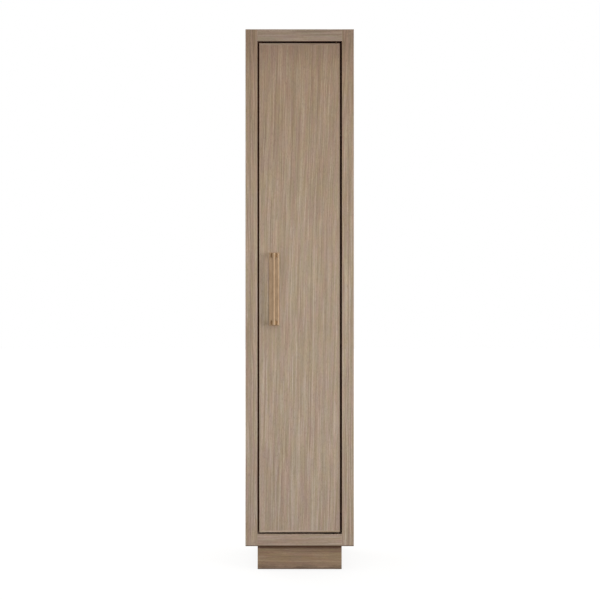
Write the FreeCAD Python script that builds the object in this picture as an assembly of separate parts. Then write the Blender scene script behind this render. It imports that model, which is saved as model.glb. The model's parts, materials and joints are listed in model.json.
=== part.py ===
"""Broom cupboard: a tall, narrow cupboard on a set-in plinth, with one inset door.

Millimetres, +Z up, the door faces -Y. The origin is on the floor, in the middle of the
bounding box. The door turns on a fixed pin below and a sprung pin above, near its right edge.
Each function makes one sub-part, or one group of like fasteners, in the cupboard's frame.
"""

import FreeCAD, Part
import math
import os
from collections import namedtuple
from FreeCAD import Vector

# Clearance round what is screwed, pressed or glued into a hole
SEAT_CLEARANCE = 0.05

# Carcass
WIDTH = 406.0
HEIGHT = 2032.0
DEPTH = 457.0
SIDE_THICK = 19.0
TOP_THICK = 19.0
FLOOR_THICK = 19.0
BACK_THICK = 6.0
BACK_REBATE = 9.0
SIDE_LIPPING = 6.0
ARRIS = 0.5

# Face frame round the door
FACE_WIDTH = 45.0
FRAME_THICK = 23.0

# Rail inside the top, and the holes in it for wall screws
WALL_RAIL_HEIGHT = 70.0
WALL_RAIL_THICK = 18.0
WALL_HOLE_RADIUS = 3.0
WALL_HOLE_SPACING = 256.0
WALL_SCREW_FROM_HOLE = 16.0

# Plinth, its corner blocks and the bearers over it
PLINTH_HEIGHT = 96.0
PLINTH_THICK = 18.0
PLINTH_SET_IN_SIDE = 44.0
PLINTH_SET_IN_FRONT = 45.0
PLINTH_SET_IN_BACK = 20.0
BLOCK_LENGTH = 72.0
BLOCK_WIDTH = 44.0
BLOCK_LIFT = 24.0
MIDDLE_BEARER_WIDTH = 62.0
BEARER_SCREW_SPACING = 112.0
COUNTERBORE_RADIUS = 5.5

# Levelling feet
PAD_RADIUS = 15.0
PAD_HEIGHT = 7.0
PAD_ROUND = 1.5
STEM_RADIUS = 4.0
STEM_LENGTH = 46.0
STEM_NUT_RADIUS = 7.5
STEM_NUT_HEIGHT = 5.0
STEM_HOLE_SPARE = 10.0
STEM_HOLE_CLEARANCE = 0.4
STEM_THREAD_CLEARANCE = 0.08
INSERT_RADIUS = 6.5
INSERT_LENGTH = 16.0

# Door
DOOR_GAP = 6.5
DOOR_THICK = 18.0
DOOR_SET_BACK = 3.0
DOOR_LIPPING = 6.0

# Door stop, its bumpers and the magnetic catches
STOP_REACH = 24.0
STOP_THICK = 16.0
CATCH_FROM_END = 180.0
CATCH_PITCH = 750.0
MAGNET_RADIUS = 5.0
MAGNET_LENGTH = 12.0
STRIKE_RADIUS = 6.5
STRIKE_THICK = 2.2
STRIKE_RECESS = 0.5
BUMPER_FROM_END = 30.0
BUMPER_PITCH = 650.0
BUMPER_RADIUS = 4.0
BUMPER_THICK = 1.7
BUMPER_ROUND = 0.8

# Gap between parts that meet and part as the door or its sprung pin moves
REST_GAP = 0.3

# Pivots near the door's right edge
PIVOT_INSET = 14.0
PIN_RADIUS = 3.5
PIN_CLEARANCE = 0.08
PIVOT_PLATE_RADIUS = 7.0
PIVOT_PLATE_SPAN = 39.0
PIVOT_PLATE_THICK = 3.0
PIVOT_SCREW_FROM_PIN = 17.0
PIVOT_SCREW_SPACING = 17.0
SLEEVE_WALL = 2.5
LOWER_PIN_IN_RAIL = 12.0
LOWER_PIN_IN_DOOR = 16.0
LOWER_PIN_SPARE = 1.0
SOCKET_END = 2.0
COLLAR_RADIUS = 6.0
WASHER_RADIUS = 6.5
WASHER_THICK = 2.0
UPPER_PIN_IN_RAIL = 9.5
UPPER_PIN_POINT = 1.0
UPPER_PIN_COLLAR = 6.0
UPPER_PIN_TRAVEL = 12.0
UPPER_BUSH_LENGTH = 13.0

# Barrel of the sprung pin, its spring and the knob that draws the pin down
BARREL_LENGTH = 52.0
BARREL_WALL = 1.6
BARREL_NECK = 12.0
BARREL_END = 3.0
CHAMBER_WALL_GAP = 1.6
SPRING_WIRE_RADIUS = 0.6
SPRING_PITCH = 4.4
SPRING_GAP = 0.2
KNOB_STUD_RADIUS = 1.5
KNOB_RADIUS = 4.0
KNOB_THICK = 3.0
KNOB_LIFT = 0.5
KNOB_SLOT_CLEARANCE = 0.3

# Handle
HANDLE_HEIGHT = 1059.0
HANDLE_FROM_MIDDLE = 96.0
PLATE_WIDTH = 38.0
PLATE_LENGTH = 274.0
PLATE_THICK = 4.0
PLATE_EDGE = 2.4
PLATE_SIDE_BEVEL = 2.8
PLATE_END_BEVEL = 1.6
BAR_RADIUS = 5.5
BAR_LENGTH = 270.0
BAR_STANDOFF = 26.0
BAR_END_ROUND = 1.5
FOOT_BASE_WIDTH = 24.0
FOOT_TOP_WIDTH = 13.0
FOOT_HEIGHT = 15.0
FOOT_FROM_END = 1.6
BOLT_RADIUS = 2.0
BOLT_HEAD_RADIUS = 4.2
BOLT_HEAD_HEIGHT = 2.6
BOLT_HEAD_DEPTH = 3.4
BOLT_IN_BAR = 5.0

# Shelf and its pins
SHELF_BELOW_CEILING = 373.0
SHELF_THICK = 19.0
SHELF_LIPPING = 8.0
SHELF_SETBACK = 32.0
SHELF_SIDE_GAP = 1.5
SHELF_BACK_GAP = 2.0
PEG_RADIUS = 2.5
PEG_IN_PANEL = 10.0
PEG_OUT = 9.0
PEG_FLAT = 1.4
PEG_COLLAR_RADIUS = 3.8
PEG_COLLAR_THICK = 1.0
PEG_FROM_EDGE = 50.0
PEG_HOLE_PITCH = 32.0
PEG_HOLES_EACH_WAY = 3

# Rail with the broom hooks
HOOK_RAIL_BELOW_SHELF = 150.0
HOOK_RAIL_HEIGHT = 64.0
HOOK_RAIL_THICK = 16.0
HOOK_SPACING = 112.0
HOOK_WIRE_RADIUS = 3.5
HOOK_REACH = 22.0
HOOK_BEND = 13.0
HOOK_RISE = 9.0
HOOK_BALL_RADIUS = 5.5
HOOK_PLATE_RADIUS = 9.0
HOOK_PLATE_SPAN = 30.0
HOOK_PLATE_THICK = 3.0
HOOK_ARM_DROP = 6.0

# Dowels
DOWEL_RADIUS = 4.0
DOWEL_IN_RAIL = 24.0
DOWEL_IN_STILE = 16.0
DOWEL_IN_SIDE = 12.0
DOWEL_IN_PANEL = 23.0
CARCASS_DOWEL_FROM_FRONT = 60.0
CARCASS_DOWEL_FROM_BACK = 87.0
CARCASS_DOWEL_PITCH = 160.0

# Screws, in three gauges: radius of shank and head, and each screw's length
FINE_SHANK = 1.4
FINE_HEAD = 2.8
LIGHT_SHANK = 1.75
LIGHT_HEAD = 3.4
STOUT_SHANK = 2.5
STOUT_HEAD = 4.8
STRIKE_SCREW_LENGTH = 12.0
HOOK_SCREW_LENGTH = 14.0
BACK_SCREW_LENGTH = 16.0
PIVOT_SCREW_LENGTH = 20.0
BEARER_SCREW_LENGTH = 38.0
PLINTH_SCREW_LENGTH = 62.0
PLINTH_SCREW_IN_BEARER = 22.0
SCREW_TIP = 3.0
SCREW_SLOT = 0.8
BACK_SCREW_PITCH = 290.0
BACK_SCREW_FROM_END = 50.0

Screw = namedtuple("Screw", "shank head length")
strike_screw = Screw(FINE_SHANK, FINE_HEAD, STRIKE_SCREW_LENGTH)
hook_screw = Screw(LIGHT_SHANK, LIGHT_HEAD, HOOK_SCREW_LENGTH)
back_screw = Screw(LIGHT_SHANK, LIGHT_HEAD, BACK_SCREW_LENGTH)
pivot_screw = Screw(LIGHT_SHANK, LIGHT_HEAD, PIVOT_SCREW_LENGTH)
bearer_screw = Screw(STOUT_SHANK, STOUT_HEAD, BEARER_SCREW_LENGTH)
plinth_screw = Screw(STOUT_SHANK, STOUT_HEAD, PLINTH_SCREW_LENGTH)

# Directions
UP = Vector(0, 0, 1)
DOWN = Vector(0, 0, -1)
INWARD = Vector(0, 1, 0)
OUTWARD = Vector(0, -1, 0)

# Planes of the carcass and its opening
half_width = WIDTH / 2
inner_half = half_width - SIDE_THICK
open_half = half_width - FACE_WIDTH
handle_reach = PLATE_THICK + BAR_STANDOFF + BAR_RADIUS - DOOR_SET_BACK
front = (handle_reach - DEPTH) / 2
back = front + DEPTH
frame_back = front + FRAME_THICK
back_inside = back - BACK_THICK
ceiling = HEIGHT - TOP_THICK
open_top = HEIGHT - FACE_WIDTH
floor_top = PLINTH_HEIGHT + FACE_WIDTH
floor_under = floor_top - FLOOR_THICK

# Planes of the door and its fittings
door_half = open_half - DOOR_GAP
door_low = floor_top + DOOR_GAP
door_high = open_top - DOOR_GAP
door_front = front + DOOR_SET_BACK
door_back = door_front + DOOR_THICK
stop_edge = STOP_REACH - open_half
catch_x = (stop_edge - door_half) / 2
strike_face = door_back - STRIKE_RECESS + STRIKE_THICK
door_rest = max(door_back + BUMPER_THICK, strike_face) + REST_GAP
stop_front = max(frame_back, door_rest)
pivot_x = door_half - PIVOT_INSET
pivot_y = door_front + DOOR_THICK / 2
sleeve_radius = PIN_RADIUS + SLEEVE_WALL
chamber_radius = PIN_RADIUS + CHAMBER_WALL_GAP
chamber_top = door_high - BARREL_NECK
chamber_low = door_high - BARREL_LENGTH + BARREL_END
upper_collar_top = chamber_top - REST_GAP
upper_collar_low = upper_collar_top - UPPER_PIN_COLLAR
upper_collar_radius = chamber_radius - PIN_CLEARANCE
knob_z = upper_collar_top - UPPER_PIN_COLLAR / 2
plate_face = door_front - PLATE_THICK
bar_y = plate_face - BAR_STANDOFF

# Planes of what stands inside
shelf_low = ceiling - SHELF_BELOW_CEILING
shelf_top = shelf_low + SHELF_THICK
hook_rail_middle = shelf_low - HOOK_RAIL_BELOW_SHELF
shelf_front = frame_back + SHELF_SETBACK
shelf_back = back_inside - SHELF_BACK_GAP
hook_rail_front = back_inside - HOOK_RAIL_THICK
hook_xs = (-HOOK_SPACING, 0.0, HOOK_SPACING)


# ---- general shapes ----

def box(x0, x1, y0, y1, z0, z1):
    return Part.makeBox(x1 - x0, y1 - y0, z1 - z0, Vector(x0, y0, z0))


def board(x0, x1, y0, y1, z0, z1):
    """A planed board with every arris taken off."""
    plain = box(x0, x1, y0, y1, z0, z1)
    return plain.makeFillet(ARRIS, plain.Edges)


def rod(radius, start, end):
    along = end - start
    return Part.makeCylinder(radius, along.Length, start, along)


def tube(outer, inner, start, end):
    return rod(outer, start, end).cut(rod(inner, start, end))


def rims(shape):
    """The round edges of a rod."""
    return [edge for edge in shape.Edges if edge.Curve.TypeId == "Part::GeomCircle"]


def prism(points, rise):
    """The closed outline through the points, drawn out along rise."""
    return Part.Face(Part.makePolygon(points + points[:1])).extrude(rise)


def mirrored(shape):
    """The shape's mirror image across the cupboard's middle plane."""
    return shape.mirror(Vector(), Vector(1, 0, 0))


def both_sides(shapes):
    return shapes + [mirrored(shape) for shape in shapes]


def joined(first, others):
    return first.fuse(others).removeSplitter()


def group(solids):
    return Part.makeCompound(list(solids))


# ---- screws, and the places where they are driven ----

def screw(kind, place, heading):
    """A countersunk screw with a cross recess. The flat of its head is at place."""
    head_depth = kind.head - kind.shank
    shank_end = kind.length - SCREW_TIP
    head = Part.makeCone(kind.head, kind.shank, head_depth)
    shank = rod(kind.shank, UP * head_depth, UP * shank_end)
    tip = Part.makeCone(kind.shank, kind.shank / 5, SCREW_TIP, UP * shank_end, UP)
    arm = kind.head * 0.6
    half = SCREW_SLOT / 2
    cross = [
        box(-arm, arm, -half, half, 0, head_depth / 2),
        box(-half, half, -arm, arm, 0, head_depth / 2),
    ]
    return turned(joined(head, [shank, tip]).cut(cross), place, heading)


def screw_hole(kind, place, heading):
    """What is bored and countersunk away for one screw."""
    wide = kind.shank + SEAT_CLEARANCE
    bore = rod(wide, Vector(), UP * (kind.length + SEAT_CLEARANCE))
    sink = Part.makeCone(kind.head + SEAT_CLEARANCE, wide, kind.head - kind.shank)
    return turned(bore.fuse(sink), place, heading)


def turned(shape, place, heading):
    """A shape drawn along +Z from the origin, brought to place and along heading."""
    shape.Placement = FreeCAD.Placement(place, FreeCAD.Rotation(UP, heading))
    return shape


def evenly(low, high, pitch):
    """Evenly spaced places from low to high, no further apart than pitch."""
    steps = math.ceil((high - low) / pitch)
    return [low + (high - low) * step / steps for step in range(steps + 1)]


# Each of these makes the screws of one group with make=screw, and their holes with
# make=screw_hole.

def back_screws(make):
    """Through the back panel into the sides, the hook rail, the wall rail and a bearer."""
    side_x = inner_half + BACK_REBATE / 2
    low = floor_top + BACK_SCREW_FROM_END
    rise = evenly(low, ceiling - BACK_SCREW_FROM_END, BACK_SCREW_PITCH)
    places = [Vector(x, back, z) for x in (-side_x, side_x) for z in rise]
    rows = (
        ((PLINTH_HEIGHT + floor_under) / 2, BEARER_SCREW_SPACING),
        (hook_rail_middle, HOOK_SPACING),
        (ceiling - WALL_RAIL_HEIGHT / 2, WALL_HOLE_SPACING / 2 - WALL_SCREW_FROM_HOLE),
    )
    for z, spacing in rows:
        places += [Vector(x, back, z) for x in (-spacing, 0.0, spacing)]
    return [make(back_screw, place, OUTWARD) for place in places]


def bearer_screws(make):
    """Up through the bearers into the floor panel."""
    across = (-BEARER_SCREW_SPACING, 0.0, BEARER_SCREW_SPACING)
    return [
        make(bearer_screw, Vector(x, (y0 + y1) / 2, PLINTH_HEIGHT), UP)
        for y0, y1 in bearer_spans()
        for x in across
    ]


def plinth_screws(make):
    """Up through the corner blocks into the front and back bearers."""
    return [make(plinth_screw, place, UP) for place in plinth_screw_places()]


def plinth_screw_places():
    """Middle of the part of each corner block that the levelling foot leaves free."""
    reach = (BLOCK_LENGTH + BLOCK_WIDTH) / 2
    half = BLOCK_WIDTH / 2
    head_z = PLINTH_HEIGHT + PLINTH_SCREW_IN_BEARER - PLINTH_SCREW_LENGTH
    return [
        Vector(x + way_x * reach, y + way_y * half, head_z)
        for x, y, way_x, way_y in plinth_corners().values()
    ]


def hook_screws(make):
    """Two in each hook's plate."""
    reach = HOOK_PLATE_SPAN / 2
    face = hook_rail_front - HOOK_PLATE_THICK
    levels = (hook_rail_middle - reach, hook_rail_middle + reach)
    return [make(hook_screw, Vector(x, face, z), INWARD) for x in hook_xs for z in levels]


def strike_screws(make):
    return [make(strike_screw, place, OUTWARD) for place in catch_places(strike_face)]


def pivot_screws(make, level, heading):
    """Two in one pivot plate, whose outer face is at this level."""
    near = Vector(pivot_x - PIVOT_SCREW_FROM_PIN, pivot_y, level)
    far = near - Vector(PIVOT_SCREW_SPACING, 0, 0)
    return [make(pivot_screw, place, heading) for place in (near, far)]


# ---- dowels ----

def frame_dowels():
    """Dowels between the rails and the stiles, clear of the pivots in the rails."""
    y = front + FRAME_THICK / 2
    room = FACE_WIDTH - max(LOWER_PIN_IN_RAIL, UPPER_BUSH_LENGTH)
    levels = []
    for place in (room / 4, room * 3 / 4):
        levels += [PLINTH_HEIGHT + place, HEIGHT - place]
    dowels = [
        rod(
            DOWEL_RADIUS,
            Vector(open_half - DOWEL_IN_RAIL, y, z),
            Vector(open_half + DOWEL_IN_STILE, y, z),
        )
        for z in levels
    ]
    return both_sides(dowels)


def carcass_dowels():
    """Dowels between the side panels and the top and floor panels."""
    first = front + CARCASS_DOWEL_FROM_FRONT
    last = back - CARCASS_DOWEL_FROM_BACK
    dowels = [
        rod(
            DOWEL_RADIUS,
            Vector(inner_half - DOWEL_IN_PANEL, y, z),
            Vector(inner_half + DOWEL_IN_SIDE, y, z),
        )
        for z in (ceiling + TOP_THICK / 2, floor_under + FLOOR_THICK / 2)
        for y in evenly(first, last, CARCASS_DOWEL_PITCH)
    ]
    return both_sides(dowels)


def joint_dowels():
    return group(frame_dowels() + carcass_dowels())


# ---- carcass ----

def side_board():
    """The right side, before its lipping is told apart."""
    whole = board(inner_half, half_width, front, back, PLINTH_HEIGHT, HEIGHT)
    return whole.cut(back_recess())


def back_recess():
    """The rebate round the back of the carcass, which the back panel fills."""
    edge = inner_half + BACK_REBATE
    return box(-edge, edge, back_inside, back, PLINTH_HEIGHT, ceiling + BACK_REBATE)


def lipping_space():
    """The front strip of both sides that their lippings take up."""
    return box(-half_width, half_width, front, front + SIDE_LIPPING, PLINTH_HEIGHT, HEIGHT)


def peg_places():
    """Where the shelf pins enter the right side panel."""
    level = shelf_low - PEG_FLAT
    depths = (shelf_front + PEG_FROM_EDGE, shelf_back - PEG_FROM_EDGE)
    return [Vector(inner_half, y, level) for y in depths]


def peg_holes():
    """Two columns of holes in the right side panel, above and below the shelf's own."""
    holes = []
    for place in peg_places():
        for step in range(-PEG_HOLES_EACH_WAY, PEG_HOLES_EACH_WAY + 1):
            mouth = place + UP * (step * PEG_HOLE_PITCH)
            end = mouth + Vector(PEG_IN_PANEL, 0, 0)
            holes.append(rod(PEG_RADIUS + SEAT_CLEARANCE, mouth, end))
    return holes


def side_panel():
    bored = peg_holes() + carcass_dowels() + back_screws(screw_hole)
    return side_board().cut([lipping_space()] + bored)


def side_lipping():
    return side_board().common(lipping_space())


def top_panel():
    whole = board(-inner_half, inner_half, frame_back, back, ceiling, HEIGHT)
    return whole.cut([back_recess()] + carcass_dowels())


def floor_panel():
    whole = board(-inner_half, inner_half, frame_back, back_inside, floor_under, floor_top)
    return whole.cut(carcass_dowels() + bearer_screws(screw_hole))


def wall_holes():
    """Two holes for screws into a wall, through the wall rail and the back panel."""
    mouth = Vector(
        WALL_HOLE_SPACING / 2, back_inside - WALL_RAIL_THICK, ceiling - WALL_RAIL_HEIGHT / 2
    )
    hole = rod(WALL_HOLE_RADIUS, mouth, Vector(mouth.x, back, mouth.z))
    return both_sides([hole])


def back_panel():
    return back_recess().cut(back_screws(screw_hole) + wall_holes())


def wall_fixing_rail():
    whole = board(
        -inner_half,
        inner_half,
        back_inside - WALL_RAIL_THICK,
        back_inside,
        ceiling - WALL_RAIL_HEIGHT,
        ceiling,
    )
    return whole.cut(back_screws(screw_hole) + wall_holes())


def back_panel_screws():
    return group(back_screws(screw))


# ---- face frame ----

def face_stile():
    whole = board(open_half, inner_half, front, frame_back, PLINTH_HEIGHT, HEIGHT)
    return whole.cut(frame_dowels())


def face_rail_top():
    whole = board(-open_half, open_half, front, frame_back, open_top, HEIGHT)
    bored = frame_dowels() + pivot_screws(screw_hole, open_top, UP)
    return whole.cut([upper_bush_blank()] + bored)


def face_rail_bottom():
    whole = board(-open_half, open_half, front, frame_back, PLINTH_HEIGHT, floor_top)
    plate = pivot_plate(floor_top - PIVOT_PLATE_THICK)
    bored = frame_dowels() + pivot_screws(screw_hole, floor_top, DOWN)
    return whole.cut([plate, lower_pin_hole()] + bored)


# ---- plinth ----

def plinth_limits():
    """The plinth's outer planes: x0, x1, y0, y1."""
    half = half_width - PLINTH_SET_IN_SIDE
    return (-half, half, front + PLINTH_SET_IN_FRONT, back - PLINTH_SET_IN_BACK)


def plinth_corners():
    """Each inside corner of the plinth, with the signs of X and Y that point inside."""
    x0, x1, y0, y1 = plinth_limits()
    t = PLINTH_THICK
    return {
        "front_left": (x0 + t, y0 + t, 1, 1),
        "front_right": (x1 - t, y0 + t, -1, 1),
        "back_left": (x0 + t, y1 - t, 1, -1),
        "back_right": (x1 - t, y1 - t, -1, -1),
    }


def bearer_spans():
    """Front and back edge of each bearer. The outer two reach over the corner blocks."""
    x0, x1, y0, y1 = plinth_limits()
    reach = PLINTH_THICK + BLOCK_WIDTH
    middle = (front + back) / 2
    half = MIDDLE_BEARER_WIDTH / 2
    return (
        (frame_back, y0 + reach),
        (middle - half, middle + half),
        (y1 - reach, back_inside),
    )


def bearer(y0, y1):
    whole = board(-inner_half, inner_half, y0, y1, PLINTH_HEIGHT, floor_under)
    bored = bearer_screws(screw_hole) + plinth_screws(screw_hole)
    return whole.cut(bored + back_screws(screw_hole))


def plinth_board(side):
    """One board of the plinth, mitred at both ends."""
    x0, x1, y0, y1 = plinth_limits()
    t = PLINTH_THICK
    outlines = {
        "front": ((x0, y0), (x1, y0), (x1 - t, y0 + t), (x0 + t, y0 + t)),
        "back": ((x0, y1), (x1, y1), (x1 - t, y1 - t), (x0 + t, y1 - t)),
        "left": ((x0, y0), (x0, y1), (x0 + t, y1 - t), (x0 + t, y0 + t)),
        "right": ((x1, y0), (x1, y1), (x1 - t, y1 - t), (x1 - t, y0 + t)),
    }
    mitred = prism([Vector(x, y, 0) for x, y in outlines[side]], UP * PLINTH_HEIGHT)
    return mitred.common(board(x0, x1, y0, y1, 0, PLINTH_HEIGHT))


def corner_block(x, y, way_x, way_y):
    outline = [
        Vector(x, y, BLOCK_LIFT),
        Vector(x + way_x * BLOCK_LENGTH, y, BLOCK_LIFT),
        Vector(x + way_x * BLOCK_LENGTH, y + way_y * BLOCK_WIDTH, BLOCK_LIFT),
        Vector(x, y + way_y * BLOCK_WIDTH, BLOCK_LIFT),
    ]
    return prism(outline, UP * (PLINTH_HEIGHT - BLOCK_LIFT))


def plinth_corner_blocks():
    """Glue blocks that carry the levelling feet and take the screws up into the bearers."""
    stem_top = PAD_HEIGHT + STEM_LENGTH + STEM_HOLE_SPARE
    bored = plinth_screws(screw_hole)
    for foot in foot_places().values():
        mouth = foot + UP * BLOCK_LIFT
        bored.append(rod(INSERT_RADIUS, mouth, mouth + UP * INSERT_LENGTH))
        bored.append(rod(STEM_RADIUS + STEM_HOLE_CLEARANCE, mouth, foot + UP * stem_top))
    for place in plinth_screw_places():
        mouth = Vector(place.x, place.y, BLOCK_LIFT)
        bored.append(rod(COUNTERBORE_RADIUS, mouth, place))
    return group(corner_block(*corner).cut(bored) for corner in plinth_corners().values())


def underside_screws():
    return group(bearer_screws(screw) + plinth_screws(screw))


# ---- levelling feet ----

def foot_places():
    """Centre line of each levelling foot, on the floor."""
    half = BLOCK_WIDTH / 2
    return {
        name: Vector(x + way_x * half, y + way_y * half, 0)
        for name, (x, y, way_x, way_y) in plinth_corners().items()
    }


def leveller_inserts():
    """Threaded sleeves in the corner blocks. Their threads are left plain."""
    inserts = []
    for foot in foot_places().values():
        mouth = foot + UP * BLOCK_LIFT
        bore = STEM_RADIUS + STEM_THREAD_CLEARANCE
        inserts.append(tube(INSERT_RADIUS, bore, mouth, mouth + UP * INSERT_LENGTH))
    return group(inserts)


def leveller(foot):
    """A round pad on a stem, with the flats that a spanner turns."""
    top = foot + UP * PAD_HEIGHT
    pad = rod(PAD_RADIUS, foot, top)
    corners = [
        top + Vector(math.cos(turn), math.sin(turn), 0) * STEM_NUT_RADIUS
        for turn in (math.tau * corner / 6 for corner in range(6))
    ]
    nut = prism(corners, UP * STEM_NUT_HEIGHT)
    stem = rod(STEM_RADIUS, top, top + UP * STEM_LENGTH)
    return joined(pad.makeFillet(PAD_ROUND, rims(pad)), [nut, stem])


# ---- door stop and catches ----

def catch_places(y):
    levels = evenly(door_low + CATCH_FROM_END, door_high - CATCH_FROM_END, CATCH_PITCH)
    return [Vector(catch_x, y, z) for z in levels]


def catch_magnets():
    return group(
        rod(MAGNET_RADIUS, place, place + INWARD * MAGNET_LENGTH)
        for place in catch_places(stop_front)
    )


def door_stop():
    """Strip behind the left stile that the door closes against."""
    stop_back = stop_front + STOP_THICK
    whole = board(-inner_half, stop_edge, stop_front, stop_back, floor_top, ceiling)
    return whole.cut(catch_magnets())


def door_bumpers():
    """Clear dots on the stop that the door rests on."""
    dots = []
    for z in evenly(door_low + BUMPER_FROM_END, door_high - BUMPER_FROM_END, BUMPER_PITCH):
        seat = Vector(catch_x, stop_front, z)
        dot = rod(BUMPER_RADIUS, seat + OUTWARD * BUMPER_THICK, seat)
        front_rim = min(rims(dot), key=lambda rim: rim.CenterOfMass.y)
        dots.append(dot.makeFillet(BUMPER_ROUND, [front_rim]))
    return group(dots)


def catch_strikes():
    """Steel discs on the door that the magnets hold."""
    discs = [
        rod(STRIKE_RADIUS, place + OUTWARD * STRIKE_THICK, place)
        for place in catch_places(strike_face)
    ]
    return group(disc.cut(strike_screws(screw_hole)) for disc in discs)


# ---- shelf ----

def shelf_board():
    edge = inner_half - SHELF_SIDE_GAP
    return board(-edge, edge, shelf_front, shelf_back, shelf_low, shelf_top)


def shelf_lipping():
    lipping_back = shelf_front + SHELF_LIPPING
    strip = box(-half_width, half_width, shelf_front, lipping_back, shelf_low, shelf_top)
    return shelf_board().common(strip)


def shelf_panel():
    return shelf_board().cut(shelf_lipping())


def shelf_pin(place):
    """A peg in the side panel, with a collar, and a flat that the shelf lies on."""
    inner_end = place + Vector(PEG_IN_PANEL, 0, 0)
    outer_end = place - Vector(PEG_OUT, 0, 0)
    collar_end = place - Vector(PEG_COLLAR_THICK, 0, 0)
    peg = rod(PEG_RADIUS, outer_end, inner_end)
    collar = rod(PEG_COLLAR_RADIUS, collar_end, place)
    above = box(
        outer_end.x,
        collar_end.x,
        place.y - PEG_RADIUS,
        place.y + PEG_RADIUS,
        shelf_low,
        place.z + PEG_RADIUS,
    )
    return joined(peg, [collar]).cut(above)


def shelf_pins():
    return group(both_sides([shelf_pin(place) for place in peg_places()]))


# ---- hooks ----

def hook_rail():
    low = hook_rail_middle - HOOK_RAIL_HEIGHT / 2
    high = hook_rail_middle + HOOK_RAIL_HEIGHT / 2
    whole = board(-inner_half, inner_half, hook_rail_front, back_inside, low, high)
    return whole.cut(hook_screws(screw_hole) + back_screws(screw_hole))


def hook_plate(x):
    """Upright plate with round ends, flat on the rail."""
    half = HOOK_PLATE_SPAN / 2
    low = Vector(x, hook_rail_front, hook_rail_middle - half)
    high = Vector(x, hook_rail_front, hook_rail_middle + half)
    out = OUTWARD * HOOK_PLATE_THICK
    side = Vector(HOOK_PLATE_RADIUS, 0, 0)
    middle = prism([low - side, low + side, high + side, high - side], out)
    ends = [rod(HOOK_PLATE_RADIUS, point, point + out) for point in (low, high)]
    return joined(middle, ends)


def broom_hook(x):
    """An upturned hook with a ball end, on its plate."""
    level = hook_rail_middle - HOOK_ARM_DROP
    start = Vector(x, hook_rail_front - HOOK_PLATE_THICK / 2, level)
    bend_start = Vector(x, hook_rail_front - HOOK_REACH, level)
    bend_centre = bend_start + UP * HOOK_BEND
    bend_end = bend_centre + OUTWARD * HOOK_BEND
    tip = bend_end + UP * HOOK_RISE
    section = Part.Face(Part.Wire(Part.makeCircle(HOOK_WIRE_RADIUS, bend_start, OUTWARD)))
    wire = [
        rod(HOOK_WIRE_RADIUS, start, bend_start),
        section.revolve(bend_centre, Vector(-1, 0, 0), 90),
        rod(HOOK_WIRE_RADIUS, bend_end, tip),
        Part.makeSphere(HOOK_BALL_RADIUS, tip),
    ]
    return joined(hook_plate(x), wire).cut(hook_screws(screw_hole))


# ---- pivots ----

def pivot_at(z):
    return Vector(pivot_x, pivot_y, z)


def pivot_rod(radius, low, high):
    """A rod on the pivot line, between two levels."""
    return rod(radius, pivot_at(low), pivot_at(high))


def pivot_plate(low):
    """Plain plate with round ends, from the pivot line towards the door's middle."""
    high = low + PIVOT_PLATE_THICK
    near = pivot_at(low)
    far = near - Vector(PIVOT_PLATE_SPAN, 0, 0)
    side = Vector(0, PIVOT_PLATE_RADIUS, 0)
    middle = prism([far - side, near - side, near + side, far + side], UP * PIVOT_PLATE_THICK)
    ends = [
        pivot_rod(PIVOT_PLATE_RADIUS, low, high),
        rod(PIVOT_PLATE_RADIUS, far, far + UP * PIVOT_PLATE_THICK),
    ]
    return joined(middle, ends)


def lower_pin_hole():
    return pivot_rod(PIN_RADIUS + SEAT_CLEARANCE, floor_top - LOWER_PIN_IN_RAIL, floor_top)


def pivot_plate_bottom():
    """Plate let into the bottom rail, round the fixed pin."""
    plate = pivot_plate(floor_top - PIVOT_PLATE_THICK)
    return plate.cut([lower_pin_hole()] + pivot_screws(screw_hole, floor_top, DOWN))


def pivot_pin_bottom():
    """Fixed pin. Its collar carries the door's weight through the washer."""
    pin_low = floor_top - LOWER_PIN_IN_RAIL
    shank = pivot_rod(PIN_RADIUS, pin_low, door_low + LOWER_PIN_IN_DOOR)
    collar = pivot_rod(COLLAR_RADIUS, floor_top, door_low - REST_GAP - WASHER_THICK)
    return joined(shank, [collar])


def pivot_washer_bottom():
    high = door_low - REST_GAP
    bore = PIN_RADIUS + PIN_CLEARANCE
    return tube(WASHER_RADIUS, bore, pivot_at(high - WASHER_THICK), pivot_at(high))


def socket_blank():
    """Outside of the socket in the door's bottom edge."""
    depth = LOWER_PIN_IN_DOOR + LOWER_PIN_SPARE + SOCKET_END
    sleeve = pivot_rod(sleeve_radius, door_low, door_low + depth)
    return joined(pivot_plate(door_low), [sleeve])


def pivot_socket_door():
    depth = LOWER_PIN_IN_DOOR + LOWER_PIN_SPARE
    bore = pivot_rod(PIN_RADIUS + PIN_CLEARANCE, door_low, door_low + depth)
    return socket_blank().cut([bore] + pivot_screws(screw_hole, door_low, UP))


def upper_bush_blank():
    """Outside of the bush plate in the top rail."""
    sleeve = pivot_rod(sleeve_radius, open_top, open_top + UPPER_BUSH_LENGTH)
    return joined(pivot_plate(open_top), [sleeve])


def pivot_plate_top():
    bore = pivot_rod(PIN_RADIUS + PIN_CLEARANCE, open_top, open_top + UPPER_BUSH_LENGTH)
    return upper_bush_blank().cut([bore] + pivot_screws(screw_hole, open_top, UP))


def barrel_blank():
    """Outside of the sprung pin's barrel in the door's top edge."""
    barrel = pivot_rod(chamber_radius + BARREL_WALL, door_high - BARREL_LENGTH, door_high)
    return joined(pivot_plate(door_high - PIVOT_PLATE_THICK), [barrel])


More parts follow.
